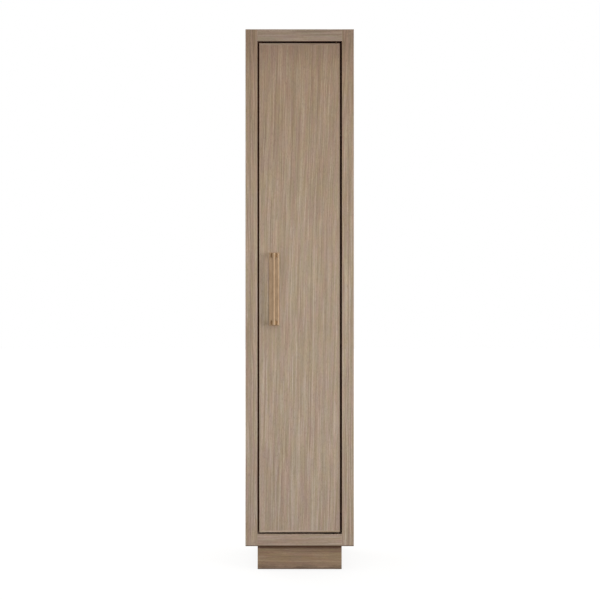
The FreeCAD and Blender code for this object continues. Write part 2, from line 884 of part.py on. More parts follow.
def knob_slot():
    """Upright slot with round ends, from the pivot line out through the door's back."""
    reach = KNOB_STUD_RADIUS + KNOB_SLOT_CLEARANCE
    low = pivot_at(knob_z - UPPER_PIN_TRAVEL)
    high = pivot_at(knob_z)
    out = INWARD * (door_back - pivot_y)
    side = Vector(reach, 0, 0)
    middle = prism([low - side, low + side, high + side, high - side], out)
    ends = [rod(reach, point, point + out) for point in (low, high)]
    return joined(middle, ends)


def pivot_barrel_top():
    neck = pivot_rod(PIN_RADIUS + PIN_CLEARANCE, chamber_top, door_high)
    chamber = pivot_rod(chamber_radius, chamber_low, chamber_top)
    bored = pivot_screws(screw_hole, door_high, DOWN)
    return barrel_blank().cut([neck, chamber, knob_slot()] + bored)


def stud_hole():
    """Hole in the sprung pin's collar that the knob's stud screws into."""
    mouth = pivot_at(knob_z) + INWARD * chamber_radius
    return rod(KNOB_STUD_RADIUS + SEAT_CLEARANCE, pivot_at(knob_z), mouth)


def pivot_pin_top():
    """Sprung pin. The door lifts out once it is drawn down into its barrel."""
    shank = pivot_rod(PIN_RADIUS, upper_collar_low, open_top + UPPER_PIN_IN_RAIL)
    point = max(rims(shank), key=lambda rim: rim.CenterOfMass.z)
    shank = shank.makeChamfer(UPPER_PIN_POINT, [point])
    collar = pivot_rod(upper_collar_radius, upper_collar_low, upper_collar_top)
    return joined(shank, [collar]).cut(stud_hole())


def pivot_release_knob():
    """Stud in the sprung pin's collar, with a flat knob behind the door."""
    start = pivot_at(knob_z)
    knob_y = door_back + KNOB_LIFT
    knob_front = Vector(start.x, knob_y, start.z)
    knob_back = knob_front + INWARD * KNOB_THICK
    stud = rod(KNOB_STUD_RADIUS, start, knob_back)
    return joined(stud, [rod(KNOB_RADIUS, knob_front, knob_back)])


def pivot_spring_top():
    """Coil spring between the barrel's end and the pin's collar."""
    coil = chamber_radius - SPRING_WIRE_RADIUS - SPRING_GAP
    inset = SPRING_WIRE_RADIUS + SPRING_GAP
    rise = upper_collar_low - chamber_low - 2 * inset
    helix = Part.makeHelix(SPRING_PITCH, rise, coil)
    section = Part.makeCircle(SPRING_WIRE_RADIUS, Vector(coil, 0, 0), INWARD)
    spring = Part.Wire(helix).makePipeShell([Part.Wire(section)], True, True)
    spring.translate(pivot_at(chamber_low + inset))
    return spring


def carcass_fitting_screws():
    return group(
        pivot_screws(screw, floor_top, DOWN)
        + pivot_screws(screw, open_top, UP)
        + hook_screws(screw)
    )


# ---- door ----

def door_bores():
    """Everything that is cut out of the door for its fittings."""
    strike_bottom = door_back - STRIKE_RECESS
    bored = [socket_blank(), barrel_blank(), knob_slot()]
    bored += pivot_screws(screw_hole, door_low, UP)
    bored += pivot_screws(screw_hole, door_high, DOWN)
    bored += strike_screws(screw_hole)
    for place in catch_places(strike_bottom):
        bored.append(rod(STRIKE_RADIUS, place, place + INWARD * STRIKE_RECESS))
    for place in bolt_places(door_back):
        seat = place + OUTWARD * BOLT_HEAD_DEPTH
        bored.append(rod(BOLT_HEAD_RADIUS + SEAT_CLEARANCE, seat, place))
    return bored + bolt_holes(door_front)


def door_piece(x0, x1, z0, z1):
    """The stretch of the finished door between these limits."""
    whole = board(-door_half, door_half, door_front, door_back, door_low, door_high)
    return whole.common(box(x0, x1, door_front, door_back, z0, z1)).cut(door_bores())


def door_core():
    edge = door_half - DOOR_LIPPING
    return door_piece(-edge, edge, door_low + DOOR_LIPPING, door_high - DOOR_LIPPING)


def door_lipping_latch():
    return door_piece(-door_half, DOOR_LIPPING - door_half, door_low, door_high)


def door_lipping_hinge():
    return door_piece(door_half - DOOR_LIPPING, door_half, door_low, door_high)


def door_lipping_top():
    edge = door_half - DOOR_LIPPING
    return door_piece(-edge, edge, door_high - DOOR_LIPPING, door_high)


def door_lipping_bottom():
    edge = door_half - DOOR_LIPPING
    return door_piece(-edge, edge, door_low, door_low + DOOR_LIPPING)


def door_fitting_screws():
    return group(
        pivot_screws(screw, door_low, UP)
        + pivot_screws(screw, door_high, DOWN)
        + strike_screws(screw)
    )


# ---- handle ----

def foot_centres(y):
    """Middle of the lower and the upper foot of the handle, in the plane y."""
    reach = (min(PLATE_LENGTH, BAR_LENGTH) - FOOT_HEIGHT) / 2 - FOOT_FROM_END
    return [
        Vector(-HANDLE_FROM_MIDDLE, y, HANDLE_HEIGHT + side * reach) for side in (-1, 1)
    ]


def bolt_places(y):
    """The handle's bolts run through the middle of its feet."""
    return foot_centres(y)


def bolt_holes(face):
    """Holes for the bolts' shanks, from the door's back out to the plane face."""
    wide = BOLT_RADIUS + SEAT_CLEARANCE
    return [rod(wide, place, Vector(place.x, face, place.z)) for place in bolt_places(door_back)]


def plate_outline(y, side_in, end_in):
    """The backplate's rectangle in the plane y, drawn in from its edges."""
    across = Vector(PLATE_WIDTH / 2 - side_in, 0, 0)
    along = Vector(0, 0, PLATE_LENGTH / 2 - end_in)
    middle = Vector(-HANDLE_FROM_MIDDLE, y, HANDLE_HEIGHT)
    return [
        middle - across - along,
        middle + across - along,
        middle + across + along,
        middle - across + along,
    ]


def handle_backplate():
    """Flat plate with long bevelled sides."""
    edge_face = door_front - PLATE_EDGE
    rim = prism(plate_outline(door_front, 0, 0), OUTWARD * PLATE_EDGE)
    outlines = (
        plate_outline(edge_face, 0, 0),
        plate_outline(plate_face, PLATE_SIDE_BEVEL, PLATE_END_BEVEL),
    )
    wires = [Part.makePolygon(points + points[:1]) for points in outlines]
    bevels = Part.makeLoft(wires, True, True)
    return joined(rim, [bevels]).cut(bolt_holes(plate_face))


def handle_bar():
    low = Vector(-HANDLE_FROM_MIDDLE, bar_y, HANDLE_HEIGHT - BAR_LENGTH / 2)
    bar = rod(BAR_RADIUS, low, low + UP * BAR_LENGTH)
    return bar.makeFillet(BAR_END_ROUND, rims(bar)).cut(bolt_holes(bolt_tip()))


def handle_foot(middle):
    """Tapered block between the plate and the bar, hollowed to seat the bar."""
    low = Vector(middle.x, 0, middle.z - FOOT_HEIGHT / 2)
    base = Vector(FOOT_BASE_WIDTH / 2, 0, 0)
    top = Vector(FOOT_TOP_WIDTH / 2, 0, 0)
    at_plate = low + INWARD * plate_face
    at_bar = low + INWARD * bar_y
    outline = [at_plate - base, at_plate + base, at_bar + top, at_bar - top]
    seat = rod(BAR_RADIUS, at_bar, at_bar + UP * FOOT_HEIGHT)
    return prism(outline, UP * FOOT_HEIGHT).cut([seat] + bolt_holes(bar_y))


def bolt_tip():
    """Plane of the bolts' tips, inside the bar."""
    return bar_y + BAR_RADIUS - BOLT_IN_BAR


def handle_bolts():
    """Bolts through the door from inside, the plate and the feet, into the bar."""
    bolts = []
    for place in bolt_places(door_back - BOLT_HEAD_DEPTH):
        head_back = place + INWARD * BOLT_HEAD_HEIGHT
        head = rod(BOLT_HEAD_RADIUS, place, head_back)
        shank = rod(BOLT_RADIUS, Vector(place.x, bolt_tip(), place.z), place)
        slot = box(
            place.x - BOLT_HEAD_RADIUS,
            place.x + BOLT_HEAD_RADIUS,
            place.y + BOLT_HEAD_HEIGHT / 2,
            head_back.y,
            place.z - SCREW_SLOT / 2,
            place.z + SCREW_SLOT / 2,
        )
        bolts.append(joined(head, [shank]).cut(slot))
    return group(bolts)


# ---- the whole cupboard ----

def carcass_parts():
    bearers = [bearer(*span) for span in bearer_spans()]
    made = {
        "side_panel_left": mirrored(side_panel()),
        "side_panel_right": side_panel(),
        "side_lipping_left": mirrored(side_lipping()),
        "side_lipping_right": side_lipping(),
        "top_panel": top_panel(),
        "floor_panel": floor_panel(),
        "back_panel": back_panel(),
        "wall_fixing_rail": wall_fixing_rail(),
        "back_panel_screws": back_panel_screws(),
        "face_stile_left": mirrored(face_stile()),
        "face_stile_right": face_stile(),
        "face_rail_top": face_rail_top(),
        "face_rail_bottom": face_rail_bottom(),
        "joint_dowels": joint_dowels(),
        "bearer_front": bearers[0],
        "bearer_middle": bearers[1],
        "bearer_back": bearers[2],
        "underside_screws": underside_screws(),
        "plinth_corner_blocks": plinth_corner_blocks(),
        "leveller_inserts": leveller_inserts(),
    }
    for side in ("front", "back", "left", "right"):
        made["plinth_" + side] = plinth_board(side)
    return made


def inside_parts():
    hooks = [broom_hook(x) for x in hook_xs]
    return {
        "door_stop": door_stop(),
        "door_bumpers": door_bumpers(),
        "catch_magnets": catch_magnets(),
        "shelf_panel": shelf_panel(),
        "shelf_lipping": shelf_lipping(),
        "shelf_pins": shelf_pins(),
        "hook_rail": hook_rail(),
        "broom_hook_left": hooks[0],
        "broom_hook_middle": hooks[1],
        "broom_hook_right": hooks[2],
        "carcass_fitting_screws": carcass_fitting_screws(),
        "pivot_plate_bottom": pivot_plate_bottom(),
        "pivot_pin_bottom": pivot_pin_bottom(),
        "pivot_washer_bottom": pivot_washer_bottom(),
        "pivot_plate_top": pivot_plate_top(),
    }


def door_parts():
    feet = [handle_foot(middle) for middle in foot_centres(bar_y)]
    return {
        "door_core": door_core(),
        "door_lipping_latch": door_lipping_latch(),
        "door_lipping_hinge": door_lipping_hinge(),
        "door_lipping_top": door_lipping_top(),
        "door_lipping_bottom": door_lipping_bottom(),
        "door_fitting_screws": door_fitting_screws(),
        "catch_strikes": catch_strikes(),
        "pivot_socket_door": pivot_socket_door(),
        "pivot_barrel_top": pivot_barrel_top(),
        "pivot_pin_top": pivot_pin_top(),
        "pivot_release_knob": pivot_release_knob(),
        "pivot_spring_top": pivot_spring_top(),
        "handle_backplate": handle_backplate(),
        "handle_bar": handle_bar(),
        "handle_foot_bottom": feet[0],
        "handle_foot_top": feet[1],
        "handle_bolts": handle_bolts(),
    }


def foot_parts():
    return {"leveller_" + corner: leveller(foot) for corner, foot in foot_places().items()}


def main():
    os.makedirs("parts", exist_ok=True)
    made = {**carcass_parts(), **inside_parts(), **door_parts(), **foot_parts()}
    for name, shape in made.items():
        solids = shape.Solids
        whole = solids[0] if len(solids) == 1 else group(solids)
        if not whole.isValid():
            print("not valid:", name)
        whole.exportStep(os.path.join("parts", name + ".step"))
        print(name, len(solids), "solids", round(whole.Volume / 1000, 1), "cm3")


main()
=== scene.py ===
import json
import math
import bpy
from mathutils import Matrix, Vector


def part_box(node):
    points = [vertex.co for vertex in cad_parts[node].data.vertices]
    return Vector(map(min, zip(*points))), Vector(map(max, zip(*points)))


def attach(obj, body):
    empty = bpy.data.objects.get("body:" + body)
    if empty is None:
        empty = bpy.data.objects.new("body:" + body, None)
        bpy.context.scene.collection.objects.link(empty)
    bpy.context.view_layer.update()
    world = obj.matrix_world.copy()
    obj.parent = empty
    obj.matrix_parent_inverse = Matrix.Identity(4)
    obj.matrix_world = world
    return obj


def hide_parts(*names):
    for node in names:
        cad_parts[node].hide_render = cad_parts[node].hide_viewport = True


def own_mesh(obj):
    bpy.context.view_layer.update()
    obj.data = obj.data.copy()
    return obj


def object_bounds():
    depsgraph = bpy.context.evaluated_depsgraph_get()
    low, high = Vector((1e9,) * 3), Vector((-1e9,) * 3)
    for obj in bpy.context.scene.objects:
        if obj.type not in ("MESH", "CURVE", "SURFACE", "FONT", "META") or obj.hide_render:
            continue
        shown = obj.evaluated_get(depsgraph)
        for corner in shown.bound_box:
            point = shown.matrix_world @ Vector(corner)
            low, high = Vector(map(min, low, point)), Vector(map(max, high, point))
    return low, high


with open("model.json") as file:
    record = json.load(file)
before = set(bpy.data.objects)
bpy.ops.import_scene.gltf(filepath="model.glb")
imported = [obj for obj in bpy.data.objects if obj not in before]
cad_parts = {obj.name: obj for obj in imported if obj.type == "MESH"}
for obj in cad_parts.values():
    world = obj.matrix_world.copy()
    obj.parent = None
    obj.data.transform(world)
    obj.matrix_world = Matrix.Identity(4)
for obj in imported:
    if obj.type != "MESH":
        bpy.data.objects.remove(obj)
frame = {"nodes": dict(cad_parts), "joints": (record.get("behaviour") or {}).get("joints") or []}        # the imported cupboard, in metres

nodes = frame["nodes"]
cadLow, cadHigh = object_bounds()
quarter = math.pi / 2
hair = 0.00001               # two places closer than this are the same
print("frame loaded:", len(nodes), "nodes")


# Shader maths

class Wire:
    # one socket of a node tree; sums written on it add Math nodes

    def __init__(self, bench, socket):
        self.bench = bench
        self.socket = socket

    def __add__(self, other):
        return self.bench.maths("ADD", self, other)

    def __sub__(self, other):
        return self.bench.maths("SUBTRACT", self, other)

    def __rsub__(self, other):
        return self.bench.maths("SUBTRACT", other, self)

    def __mul__(self, other):
        return self.bench.maths("MULTIPLY", self, other)

    def __truediv__(self, other):
        return self.bench.maths("DIVIDE", self, other)

    def __pow__(self, other):
        return self.bench.maths("POWER", self, other)

    def __rtruediv__(self, other):
        return self.bench.maths("DIVIDE", other, self)

    def __rpow__(self, other):
        return self.bench.maths("POWER", other, self)

    __radd__ = __add__
    __rmul__ = __mul__


class Bench:
    # one node tree, and the one way to put a node in it

    def __init__(self, tree):
        self.tree = tree
        tree.nodes.clear()

    def add(self, kind, settings=None, values=None, out=0):
        node = self.tree.nodes.new("ShaderNode" + kind)
        for key, value in (settings or {}).items():
            if key == "stops":
                for spare in list(node.color_ramp.elements)[1:]:
                    node.color_ramp.elements.remove(spare)
                node.color_ramp.elements[0].position = value[0][0]
                for place, _ in value[1:]:
                    node.color_ramp.elements.new(place)
                for stop, (_, colour) in zip(node.color_ramp.elements, value):
                    stop.color = colour
            else:
                setattr(node, key, value)
        for key, value in (values or {}).items():
            if isinstance(value, Wire):
                self.tree.links.new(value.socket, node.inputs[key])
            else:
                node.inputs[key].default_value = value
        return Wire(self, node.outputs[out]) if node.outputs else None

    def maths(self, operation, *values):
        return self.add("Math", {"operation": operation}, dict(enumerate(values)))

    def vector(self, operation, *values):
        return self.add("VectorMath", {"operation": operation}, dict(enumerate(values)))

    def mix(self, amount, first, second, how="MIX"):
        settings = {"data_type": "RGBA", "blend_type": how}
        return self.add("Mix", settings, {0: amount, 6: first, 7: second}, out=2)

    def step(self, value, low, high, start=0.0, end=1.0):
        # smooth change from start to end while value goes from low to high
        settings = {"interpolation_type": "SMOOTHSTEP"}
        sockets = {0: value, 1: low, 2: high, 3: start, 4: end}
        return self.add("MapRange", settings, sockets)

    def noise(self, spot, size, detail=2.0, rough=0.5, out=0):
        # blobs of this size in metres, longer along whichever way has the larger number
        scaled = self.vector("DIVIDE", spot, size)
        sockets = {"Vector": scaled, "Scale": 1.0, "Detail": detail, "Roughness": rough}
        return self.add("TexNoise", {}, sockets, out)

    def spot(self):
        return self.add("TexCoord", out="Object")

    def parts(self, spot):
        split = self.add("SeparateXYZ", values={0: spot}).socket.node
        return [Wire(self, socket) for socket in split.outputs]

    def bump(self, height, depth):
        return self.add("Bump", values={"Strength": 1.0, "Distance": depth, "Height": height})

    def finish(self, **values):
        # the Principled shader, with spaces in its socket names written as _
        sockets = {key.replace("_", " "): value for key, value in values.items()}
        shader = self.add("BsdfPrincipled", values=sockets)
        self.add("OutputMaterial", values={"Surface": shader})


def newMaterial(name):
    material = bpy.data.materials.new(name)
    material.use_nodes = True
    return material, Bench(material.node_tree)


def tone(red, green, blue):
    # a colour in 0..255 as the shader wants it
    linear = []
    for part in (red / 255, green / 255, blue / 255):
        linear.append(part / 12.92 if part <= 0.04045 else ((part + 0.055) / 1.055) ** 2.4)
    return (*linear, 1.0)


# Camera and light

camera = {
    "place": (0.0013, -4.7125, 1.018),
    "lens": 72.1,
    "sensor": 36.0,
    "seesTo": 200.0,
}

lamps = {
    # where it stands, what it points at, width and height, power, colour
    "keyLamp": ((4.1, -3.05, 1.1), (0.0, -0.2, 1.0), (0.7, 1.3), 86.0, (1.0, 0.985, 0.96)),
    "leftBackLamp": ((-3.6, 3.2, 2.6), (0.0, 0.0, 1.0), (2.4, 2.4), 62.0, (1.0, 0.99, 0.98)),
}

studio = {
    "airStrength": 1.06,     # what the room's light adds on all sides
    "airColour": (1.0, 0.985, 0.965, 1.0),
    "floorColour": (0.16, 0.16, 0.158, 1.0),
    "floorGlow": 0.85,       # how white the floor looks round the plinth
    "glowFrom": 0.8,         # this far out it starts to whiten
    "glowFull": 3.0,         # and from here it is white
    "floorSize": 40.0,
}


def makeCamera():
    bpy.ops.object.camera_add(location=camera["place"], rotation=(quarter, 0, 0))
    made = bpy.context.object
    made.name = "camera"
    made.data.lens = camera["lens"]
    made.data.sensor_width = camera["sensor"]
    made.data.clip_end = camera["seesTo"]
    bpy.context.scene.camera = made


def makeLamps():
    for name, (place, target, size, power, colour) in lamps.items():
        bpy.ops.object.light_add(type="AREA", location=place)
        lamp = bpy.context.object
        lamp.name = name
        lamp.rotation_euler = (Vector(target) - Vector(place)).to_track_quat("-Z", "Y").to_euler()
        lamp.data.shape = "RECTANGLE"
        lamp.data.size, lamp.data.size_y = size
        lamp.data.energy = power
        lamp.data.color = colour


def makeAir():
    # white to look at and in reflections, softer as light on the cupboard
    world = bpy.data.worlds.new("studioAir")
    bpy.context.scene.world = world
    world.use_nodes = True
    bench = Bench(world.node_tree)
    seen = bench.add("LightPath", out="Is Camera Ray")
    mirrored = bench.add("LightPath", out="Is Glossy Ray")
    through = bench.add("LightPath", out="Is Transmission Ray")
    white = bench.maths("MAXIMUM", bench.maths("MAXIMUM", seen, mirrored), through)
    soft = bench.add("Background", values={0: studio["airColour"], 1: studio["airStrength"]})
    bright = bench.add("Background", values={0: (1, 1, 1, 1), 1: 1.0})
    both = bench.add("MixShader", values={0: white, 1: soft, 2: bright})
    bench.add("OutputWorld", values={0: both})


def makeFloor():
    bpy.ops.mesh.primitive_plane_add(size=studio["floorSize"])
    floor = bpy.context.object
    floor.name = "studioFloor"
    material, bench = newMaterial("palePaperFloor")
    away = bench.add("VectorMath", {"operation": "LENGTH"}, {0: bench.spot()}, out="Value")
    seen = bench.add("LightPath", out="Is Camera Ray")
    mirrored = bench.add("LightPath", out="Is Glossy Ray")
    looked = bench.maths("MAXIMUM", seen, mirrored)
    glow = bench.step(away, studio["glowFrom"], studio["glowFull"], studio["floorGlow"], 1.0)
    paper = bench.add("BsdfDiffuse", values={0: studio["floorColour"]})
    shine = bench.add("Emission", values={0: bench.mix(glow * looked, (0, 0, 0, 1), (1, 1, 1, 1))})
    top = bench.add("AddShader", values={0: paper, 1: shine})
    clear = bench.add("BsdfTransparent")
    under = bench.add("NewGeometry", out="Backfacing")
    both = bench.add("MixShader", values={0: under, 1: top, 2: clear})
    bench.add("OutputMaterial", values={0: both})
    floor.data.materials.append(material)


bpy.context.scene.view_settings.view_transform = "Standard"
makeCamera()
makeLamps()
makeAir()
makeFloor()
print("camera, lamps and floor made")


# Modelling by hand

towards = {"x": (0.0, quarter, 0.0), "y": (-quarter, 0.0, 0.0), "z": (0.0, 0.0, 0.0)}
facing = 0.99        # a face looks one way when its normal has this much of it
sideOn = 0.05        # and stands along it with less than this


def keepPlace(piece, name):
    # its place, turn and size go into its mesh
    piece.name = name
    bpy.ops.object.transform_apply(location=True, rotation=True, scale=True)
    return piece


def startBlock(name, low, high):
    bpy.ops.object.select_all(action="DESELECT")
    bpy.ops.mesh.primitive_cube_add(size=1.0, location=(low + high) / 2, scale=high - low)
    return keepPlace(bpy.context.object, name)


def startRod(name, foot, length, radius, sides, along="z", turn=0.0):
    # runs from its foot towards +x, +y or +z
    way = Vector([float(letter == along) for letter in "xyz"])
    rotation = Vector(towards[along]) + way * turn
    middle = Vector(foot) + way * length / 2
    bpy.ops.object.select_all(action="DESELECT")
    bpy.ops.mesh.primitive_cylinder_add(
        vertices=sides, radius=radius, depth=length, location=middle, rotation=rotation)
    return keepPlace(bpy.context.object, name)


def pick(piece, kind, wanted):
    # in edit mode, selects only the faces (middle, normal) or the edges (two ends) that are wanted
    bpy.ops.object.mode_set(mode="OBJECT")
    bpy.context.tool_settings.mesh_select_mode = (False, kind == "edges", kind == "faces")
    mesh = piece.data
    for parts in (mesh.vertices, mesh.edges, mesh.polygons):
        parts.foreach_set("select", [False] * len(parts))
    for face in mesh.polygons if kind == "faces" else ():
        face.select = wanted(face.center, face.normal)
    for edge in mesh.edges if kind == "edges" else ():
        edge.select = wanted(*(mesh.vertices[end].co for end in edge.vertices))
    bpy.ops.object.mode_set(mode="EDIT")


def push(way):
    bpy.ops.mesh.extrude_region_move(TRANSFORM_OT_translate={"value": way})


def shrink(middle, x=1.0, y=1.0, z=1.0):
    bpy.ops.transform.resize(value=(x, y, z), center_override=middle)


def takeUp(piece):
    # selects this piece alone, out of edit mode
    bpy.ops.object.mode_set(mode="OBJECT")
    bpy.ops.object.select_all(action="DESELECT")
    piece.select_set(True)
    bpy.context.view_layer.objects.active = piece


def apply(piece, kind, **settings):
    takeUp(piece)
    made = piece.modifiers.new(kind, kind)
    for key, value in settings.items():
        setattr(made, key, value)
    bpy.ops.object.modifier_apply(modifier=made.name)


def smooth(piece, angle=35):
    # round where it is round, flat where it is flat
    takeUp(piece)
    bpy.ops.object.shade_smooth_by_angle(angle=math.radians(angle))
    apply(piece, "WEIGHTED_NORMAL", keep_sharp=True)


def soften(piece, width, steps=2, angle=15):
    # rounds every edge sharper than the angle
    limit = math.radians(angle)
    apply(piece, "BEVEL", width=width, segments=steps, limit_method="ANGLE", angle_limit=limit)


def copyTo(piece, name, shift):
    # a copy with its own mesh, moved within the mesh
    takeUp(piece)
    bpy.ops.object.duplicate()
    made = bpy.context.object
    made.location = shift
    return keepPlace(made, name)


def fit(piece, body, node, material):
    # puts a new piece in the place of a CAD node
    piece.data.materials.append(material)
    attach(piece, body)
    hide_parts(node)


# Woods. Each board has its own cut of the same timber.

greyOak = {
    "main": (187, 169, 149),
    "rose": (188, 160, 145),
    "olive": (180, 163, 135),
    "light": (215, 200, 182),
    "dark": (121, 97, 76),
    "pore": (98, 78, 60),
    "coat": 0.10,
}

innerOak = {
    **greyOak,
    "main": (174, 156, 136),
    "rose": (172, 149, 131),
    "olive": (166, 149, 120),
    "light": (196, 181, 162),
    "coat": 0.05,
}

oakLog = {
    "ringWidth": 0.0027,
    "ringRough": 0.62,
    "ringGap": 7.0,            # how many rings apart two boards begin
    "widening": 0.011,         # how far the heart wanders with height
    "sway": 0.030,             # slow bends in the grain, and how long they are
    "swaySize": (0.25, 0.25, 0.9),
    "wander": 0.007,           # quick bends
    "wanderSize": (0.05, 0.05, 0.16),
}
cutStep = (0.37, 0.61, 1.3)    # how far apart two boards were cut from the log

oakPatterns = {
    # size across the grain, size along it, detail, roughness
    "streaks": (0.0034, 0.36, 3.0, 0.62),
    "bands": (0.0095, 0.468, 1.0, 0.5),
    "hue": (0.011, 0.10, 2.0, 0.55),
    "warmth": (0.024, 0.055, 2.0, 0.6),
    "fibres": (0.0009, 0.045, 3.0, 0.6),
    "broad": (0.05, 0.7, 1.0, 0.5),
    "pores": (0.00055, 0.011, 1.0, 0.5),
}

oakLayers = [
    # pattern, where it starts and is full, strength, colour
    ("streaks", 0.46, 0.70, 0.72, "light"),
    ("rings", 0.52, 0.24, 0.48, "dark"),
    ("streaks", 0.48, 0.26, 0.42, "dark"),
    ("bands", 0.56, 0.34, 0.20, "dark"),
    ("broad", 0.35, 0.7, 0.06, "light"),
    ("fibres", 0.35, 0.7, 0.14, "dark"),
]

oakFinish = {
    "mainShare": 0.25,
    "hueFrom": 0.36,           # olive up to here
    "hueTo": 0.64,             # rose from here on
    "cool": (0.978, 0.992, 1.022, 1.0),
    "warm": (1.018, 1.004, 0.974, 1.0),
    "ringPores": 0.25,         # how much more open the pores are on a ring
    "poresFrom": 0.70,
    "poresTo": 0.80,
    "poreShare": 0.42,
    "roughness": 0.5,
    "streakRough": 0.14,
    "poreRough": 0.16,
    "rubbedRough": -0.08,
    # rougher where the gap's painted shade is
    "shadeRough": 0.35,
    "ringHeight": 0.35,
    "fibreHeight": 0.25,
    "depth": 0.00010,
    "coatRough": 0.35,
    "ior": 1.46,
}

arrisWearAndHighlight = {
    # edges paler and polished: partly wear from handling, partly a painted highlight along the
    # arrises
    "from": 0.0016,
    "full": 0.0002,
    "patch": (0.03, 0.03, 0.03),
    "patchFrom": 0.35,
    "patchTo": 0.62,
    "least": 0.35,
    "strength": 0.20,
}

heightToneAndShade = [
    # the uprights' tone from foot to top: a little darker at the very foot, palest below the
    # middle, darker and warmer towards the top; the sharp drop in the last few centimetres is
    # painted shade under the top rail
    (0.02, (0.90, 0.89, 0.90, 1.0)),
    (0.25, (1.0, 1.0, 1.0, 1.0)),
    (0.56, (0.98, 0.965, 0.93, 1.0)),
    (0.92, (0.80, 0.73, 0.64, 1.0)),
    # painted shade at the top, under the top rail
    (0.975, (0.62, 0.54, 0.475, 1.0)),
]

boardToneAndShade = {
    # boards made darker or warmer than the rest: the bottom rail a darker tone; the top rail
    # partly a darker tone, partly painted shade against the stronger light at the top; painted
    # shade on the door's top lipping under the top rail, on the hinge lipping in the right stile's
    # shadow, and on the plinth, set back under the carcass
    "face_rail_top": (0.71, 0.69, 0.68, 1.0),
    "face_rail_bottom": (0.87, 0.85, 0.86, 1.0),
    "door_lipping_top": (0.60, 0.55, 0.50, 1.0),
    "door_lipping_hinge": (0.80, 0.78, 0.76, 1.0),
    "plinth_front": (0.75, 0.655, 0.545, 1.0),
    "plinth_back": (0.81, 0.71, 0.59, 1.0),
    "plinth_left": (0.81, 0.71, 0.59, 1.0),
    "plinth_right": (0.81, 0.71, 0.59, 1.0),
}

lean = {
    # how the grain leans to the right on its way up: at the foot, and how much faster with height
    "door_core": (0.012, 0.008),
}

gapShade = {
    # painted shade on the faces along the gap round the door, standing in for the shadow in the
    # gap
    "tone": (84, 42, 22),
    "atFoot": 0.22,            # how much of it the bottom rail takes
    "footFrom": 0.002,
    "footTo": 0.008,
    "reachLeft": 0.0002,       # how far it runs over the arrises on to the front
    "reachRight": 0.0008,
    "reachTurn": 0.1,          # one gives way to the other this near the middle
    "soft": 0.00015,
    "sillFrom": 0.0003,        # it begins just under the bottom rail's top
    "sillTo": 0.0001,
    "stopFrom": 0.0012,        # it ends as it meets the door stop
    "stopTo": 0.0006,
}

seam = {
    # the line where each side meets its stile
    "tone": (104, 84, 66),
    "strength": 0.55,
    "from": 0.0011,
    "full": 0.0003,
    "backFrom": 0.004,
    "backFull": 0.002,
}

lowDarkening = {
    # heights in metres: painted shade high on the plinth under the overhang, painted shade along
    # the lowest edges, and patches darker towards the plinth's foot
    "overhangShadeFrom": 0.0210,
    "overhangShadeFull": 0.0095,
    "overhangShade": 0.92,
    # painted shade along the lowest edges
    "endShadeFrom": 0.0050,
    "endShadeFull": 0.0020,
    "mottleFrom": 0.034,
    "mottleFull": 0.004,
    "mottleSize": (0.05, 0.05, 0.012),
    "footPatchFrom": 0.30,
    "footPatchFull": 0.70,
    "footDarkLeast": 0.35,
    "footDark": 0.90,
}

turns = {
    # turns a board so that its grain runs along the pattern's Z
    "x": (0.0, -quarter, 0.0),
    "y": (quarter, 0.0, 0.0),
    "z": (0.0, 0.0, 0.0),
}

boards = {
    # node: timber, way of the grain, slice of the log, heart of the log (across, through)
    "door_core": (greyOak, "z", 1, (0.22, -0.12)),
    "door_lipping_latch": (greyOak, "z", 2, (0.3, 0.1)),
    "door_lipping_hinge": (greyOak, "z", 3, (0.3, 0.1)),
    "door_lipping_top": (greyOak, "x", 4, (0.3, 0.1)),
    "door_lipping_bottom": (greyOak, "x", 5, (0.3, 0.1)),
    "face_stile_left": (greyOak, "z", 6, (-0.26, 0.05)),
    "face_stile_right": (greyOak, "z", 7, (0.3, 0.06)),
    "face_rail_top": (greyOak, "x", 8, (0.3, 0.07)),
    "face_rail_bottom": (greyOak, "x", 9, (0.28, 0.09)),
    "side_lipping_left": (greyOak, "z", 10, (0.3, 0.08)),
    "side_lipping_right": (greyOak, "z", 11, (-0.3, 0.08)),
    "side_panel_left": (greyOak, "z", 12, (-0.16, 0.24)),
    "side_panel_right": (greyOak, "z", 13, (0.15, -0.2)),
    "top_panel": (greyOak, "x", 14, (0.14, 0.2)),
    "plinth_front": (greyOak, "x", 15, (0.3, 0.1)),
    "plinth_back": (greyOak, "x", 16, (0.3, 0.1)),
    "plinth_left": (greyOak, "y", 17, (0.3, 0.1)),
    "plinth_right": (greyOak, "y", 18, (0.3, 0.1)),
    "floor_panel": (innerOak, "x", 19, (0.14, 0.2)),
    "wall_fixing_rail": (innerOak, "x", 20, (0.2, 0.2)),
    "door_stop": (innerOak, "z", 21, (0.2, 0.2)),
    "shelf_panel": (innerOak, "x", 22, (0.14, 0.2)),
    "shelf_lipping": (innerOak, "x", 23, (0.3, 0.1)),
    "hook_rail": (innerOak, "x", 24, (0.2, 0.2)),
}


def edgeDistance(bench, spot, node):
    # how far a point of a board lies from the nearest of its twelve edges
    low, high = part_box(node)
    middle = (low + high) / 2
    half = (high - low) / 2
    fromMiddle = bench.vector("ABSOLUTE", bench.vector("SUBTRACT", spot, middle))
    x, y, z = bench.parts(bench.vector("SUBTRACT", half, fromMiddle))
    pairs = [bench.maths("MAXIMUM", *pair) for pair in ((x, y), (y, z), (x, z))]
    return bench.maths("MINIMUM", bench.maths("MINIMUM", pairs[0], pairs[1]), pairs[2])


